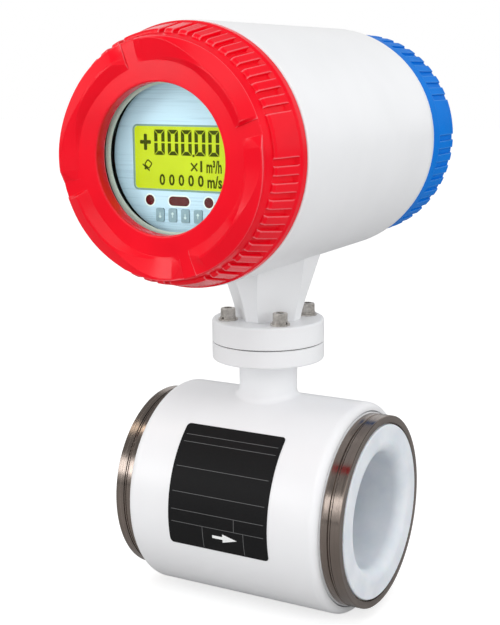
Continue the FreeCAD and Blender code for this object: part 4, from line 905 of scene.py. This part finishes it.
# ---------------------------------------------------------------- studio
def backdrop_paper(name, colour, lift):
    """Matt paper that keeps shadows, is lifted to white for the camera and stays dimmer in shiny faces."""
    material, tree, shader = new_material(name)
    set_shader(shader, Roughness=0.9, Specular_IOR_Level=0.0)
    rays = add_node(tree, "ShaderNodeLightPath")
    dim = add_node(tree, "ShaderNodeMix", {"data_type": "RGBA"}, {
        "Factor": rays.outputs["Is Glossy Ray"], "A": rgba(colour), "B": rgba(tone(colour, 0.8))})
    tree.links.new(dim.outputs["Result"], shader.inputs["Base Color"])
    seen = add_node(tree, "ShaderNodeMath", {"operation": "MAXIMUM"}, {
        0: rays.outputs["Is Camera Ray"], 1: rays.outputs["Is Transmission Ray"]})
    glow = add_node(tree, "ShaderNodeMath", {"operation": "MULTIPLY"}, {0: seen, 1: lift})
    light = add_node(tree, "ShaderNodeEmission", inputs={"Color": rgba((1, 1, 1)), "Strength": glow})
    both = add_node(tree, "ShaderNodeAddShader", inputs={0: shader, 1: light})
    set_surface(tree, both.outputs[0])
    return material


def studio_walls(tree, heights):
    """Brightness of the room by height: pairs of height, from -1 below to 1 above, and brightness."""
    where = add_node(tree, "ShaderNodeTexCoord").outputs["Generated"]
    height = add_node(tree, "ShaderNodeSeparateXYZ", inputs={"Vector": where}).outputs["Z"]
    share = add_node(tree, "ShaderNodeMapRange", inputs={"Value": height, "From Min": -1.0, "From Max": 1.0})
    ramp = add_node(tree, "ShaderNodeValToRGB", inputs={"Fac": share})
    set_stops(ramp, [((rise + 1) / 2, (brightness,) * 3) for rise, brightness in heights])
    return ramp.outputs["Color"]


def soft_box(name, power, width, height, place_at, aim_at, mirrored=True, colour=(1, 1, 1)):
    """Large rectangular lamp turned towards a point; mirrored tells whether shiny faces show it."""
    lamp = bpy.data.lights.new(name, "AREA")
    lamp.shape = "RECTANGLE"
    lamp.size = width
    lamp.size_y = height
    lamp.energy = power
    lamp.color = colour
    fixture = bpy.data.objects.new(name, lamp)
    bpy.context.collection.objects.link(fixture)
    fixture.location = place_at
    fixture.rotation_euler = (Vector(aim_at) - Vector(place_at)).to_track_quat("-Z", "Y").to_euler()
    fixture.visible_glossy = mirrored


class FLOWMETER_OT_stage(bpy.types.Operator):
    """Set the pale floor, the soft lamps, the world and the camera"""
    bl_idname = "flowmeter.stage"
    bl_label = "Studio"

    def execute(self, context):
        sizes = context.scene.flow_meter_sizes
        deselect()
        below = 0.2 * MM
        bpy.ops.mesh.primitive_plane_add(size=sizes.floor_size, location=(0, 0, CAD_BOX[0][2] - below))
        floor = bpy.context.object
        floor.name = "studio_floor"
        settle(floor)
        floor.data.materials.append(backdrop_paper("white_backdrop_paper", (0.55, 0.55, 0.55), lift=0.66))
        self.light(context)
        self.camera(context)
        return {"FINISHED"}

    def light(self, context):
        """Room that shiny faces see as dark and light walls, white behind the object, and five lamps."""
        world = bpy.data.worlds.new("studio_world")
        context.scene.world = world
        world.use_nodes = True
        tree = world.node_tree
        tree.nodes.clear()
        rays = add_node(tree, "ShaderNodeLightPath")
        walls = studio_walls(tree, ((-1.0, 0.2), (0.0, 0.2), (0.06, 0.85), (0.42, 0.95), (0.52, 0.25),
                                    (0.8, 0.35), (1.0, 0.35)))
        room = studio_walls(tree, ((-1.0, 0.2), (-0.1, 0.27), (0.12, 0.76), (1.0, 0.78)))
        shown = add_node(tree, "ShaderNodeMix", {"data_type": "RGBA"}, {
            "Factor": rays.outputs["Is Glossy Ray"], "A": room, "B": walls}).outputs["Result"]
        even = add_node(tree, "ShaderNodeBackground", inputs={"Color": shown, "Strength": 1.0})
        white = add_node(tree, "ShaderNodeBackground", inputs={"Color": rgba((1, 1, 1)), "Strength": 1.0})
        seen = add_node(tree, "ShaderNodeMath", {"operation": "MAXIMUM"}, {
            0: rays.outputs["Is Camera Ray"], 1: rays.outputs["Is Transmission Ray"]})
        mix = add_node(tree, "ShaderNodeMixShader", inputs={0: seen, 1: even, 2: white})
        add_node(tree, "ShaderNodeOutputWorld", inputs={"Surface": mix})
        # Each lamp: watts, width and height in metres, its place, and the point that it faces. Shiny faces
        # don't mirror the front and right ones.
        middle = (0, 0, 0.12)
        soft_box("key_lamp", 4.5, 1.0, 0.8, (0.2, -1.2, 1.2), middle)
        soft_box("front_lamp", 6.3, 1.4, 0.7, (0.1, -1.8, 0.1), middle, mirrored=False)
        soft_box("left_lamp", 2.4, 0.35, 0.42, (-0.75, -1.25, 0.47), middle)
        soft_box("warm_lamp", 0.8, 0.12, 0.4, (-0.89, -0.4, 1.21), (-0.08, -0.06, 0.0),
                 colour=(1.0, 0.85, 0.68))
        soft_box("right_lamp", 6.5, 0.5, 1.2, (1.4, 0.1, 0.6), middle, mirrored=False)

    def camera(self, context):
        """Camera in front, to the right of the display and a little above it."""
        data = bpy.data.cameras.new("studio_camera")
        data.sensor_fit = "HORIZONTAL"
        data.sensor_width = SENSOR_MM
        data.lens = LENS_MM
        data.clip_start = 0.05
        data.clip_end = 50.0
        view = bpy.data.objects.new("studio_camera", data)
        context.collection.objects.link(view)
        turn = (Matrix.Rotation(math.radians(CAMERA_ROUND), 4, "Z")
                @ Matrix.Rotation(math.radians(90 - CAMERA_DOWN), 4, "X")
                @ Matrix.Rotation(math.radians(CAMERA_ROLL), 4, "Z"))
        view.matrix_world = Matrix.Translation(CAMERA_PLACE) @ turn
        context.scene.camera = view
        context.scene.view_settings.view_transform = "Standard"


class FLOWMETER_PT_panel(bpy.types.Panel):
    """Lists the steps that dress the flow meter"""
    bl_idname = "FLOWMETER_PT_panel"
    bl_label = "Flow meter"
    bl_space_type = "VIEW_3D"
    bl_region_type = "UI"
    bl_category = "Flow meter"

    def draw(self, context):
        """One button for each step, then the finishes and sizes."""
        layout = self.layout
        for operator in OPERATORS:
            layout.operator(operator.bl_idname)
        for group in (context.scene.flow_meter_finish, context.scene.flow_meter_sizes):
            for key in group.__annotations__:
                layout.prop(group, key)


OPERATORS = (
    FLOWMETER_OT_finishes,
    FLOWMETER_OT_screen,
    FLOWMETER_OT_display_print,
    FLOWMETER_OT_nameplate_print,
    FLOWMETER_OT_glass_edge,
    FLOWMETER_OT_threads,
    FLOWMETER_OT_stage,
)
CLASSES = (FlowMeterFinish, FlowMeterSizes, *OPERATORS, FLOWMETER_PT_panel)


def register():
    """Make the classes and the two groups of settings known to Blender."""
    for cls in CLASSES:
        bpy.utils.register_class(cls)
    bpy.types.Scene.flow_meter_finish = bpy.props.PointerProperty(type=FlowMeterFinish)
    bpy.types.Scene.flow_meter_sizes = bpy.props.PointerProperty(type=FlowMeterSizes)


def unregister():
    """Take them out again."""
    del bpy.types.Scene.flow_meter_sizes
    del bpy.types.Scene.flow_meter_finish
    for cls in reversed(CLASSES):
        bpy.utils.unregister_class(cls)


def main():
    register()
    bpy.ops.flowmeter.finishes()
    bpy.ops.flowmeter.screen()
    bpy.ops.flowmeter.display_print()
    bpy.ops.flowmeter.nameplate_print()
    bpy.ops.flowmeter.glass_edge()
    bpy.ops.flowmeter.threads()
    bpy.ops.flowmeter.stage()


if __name__ == "__main__":
    main()
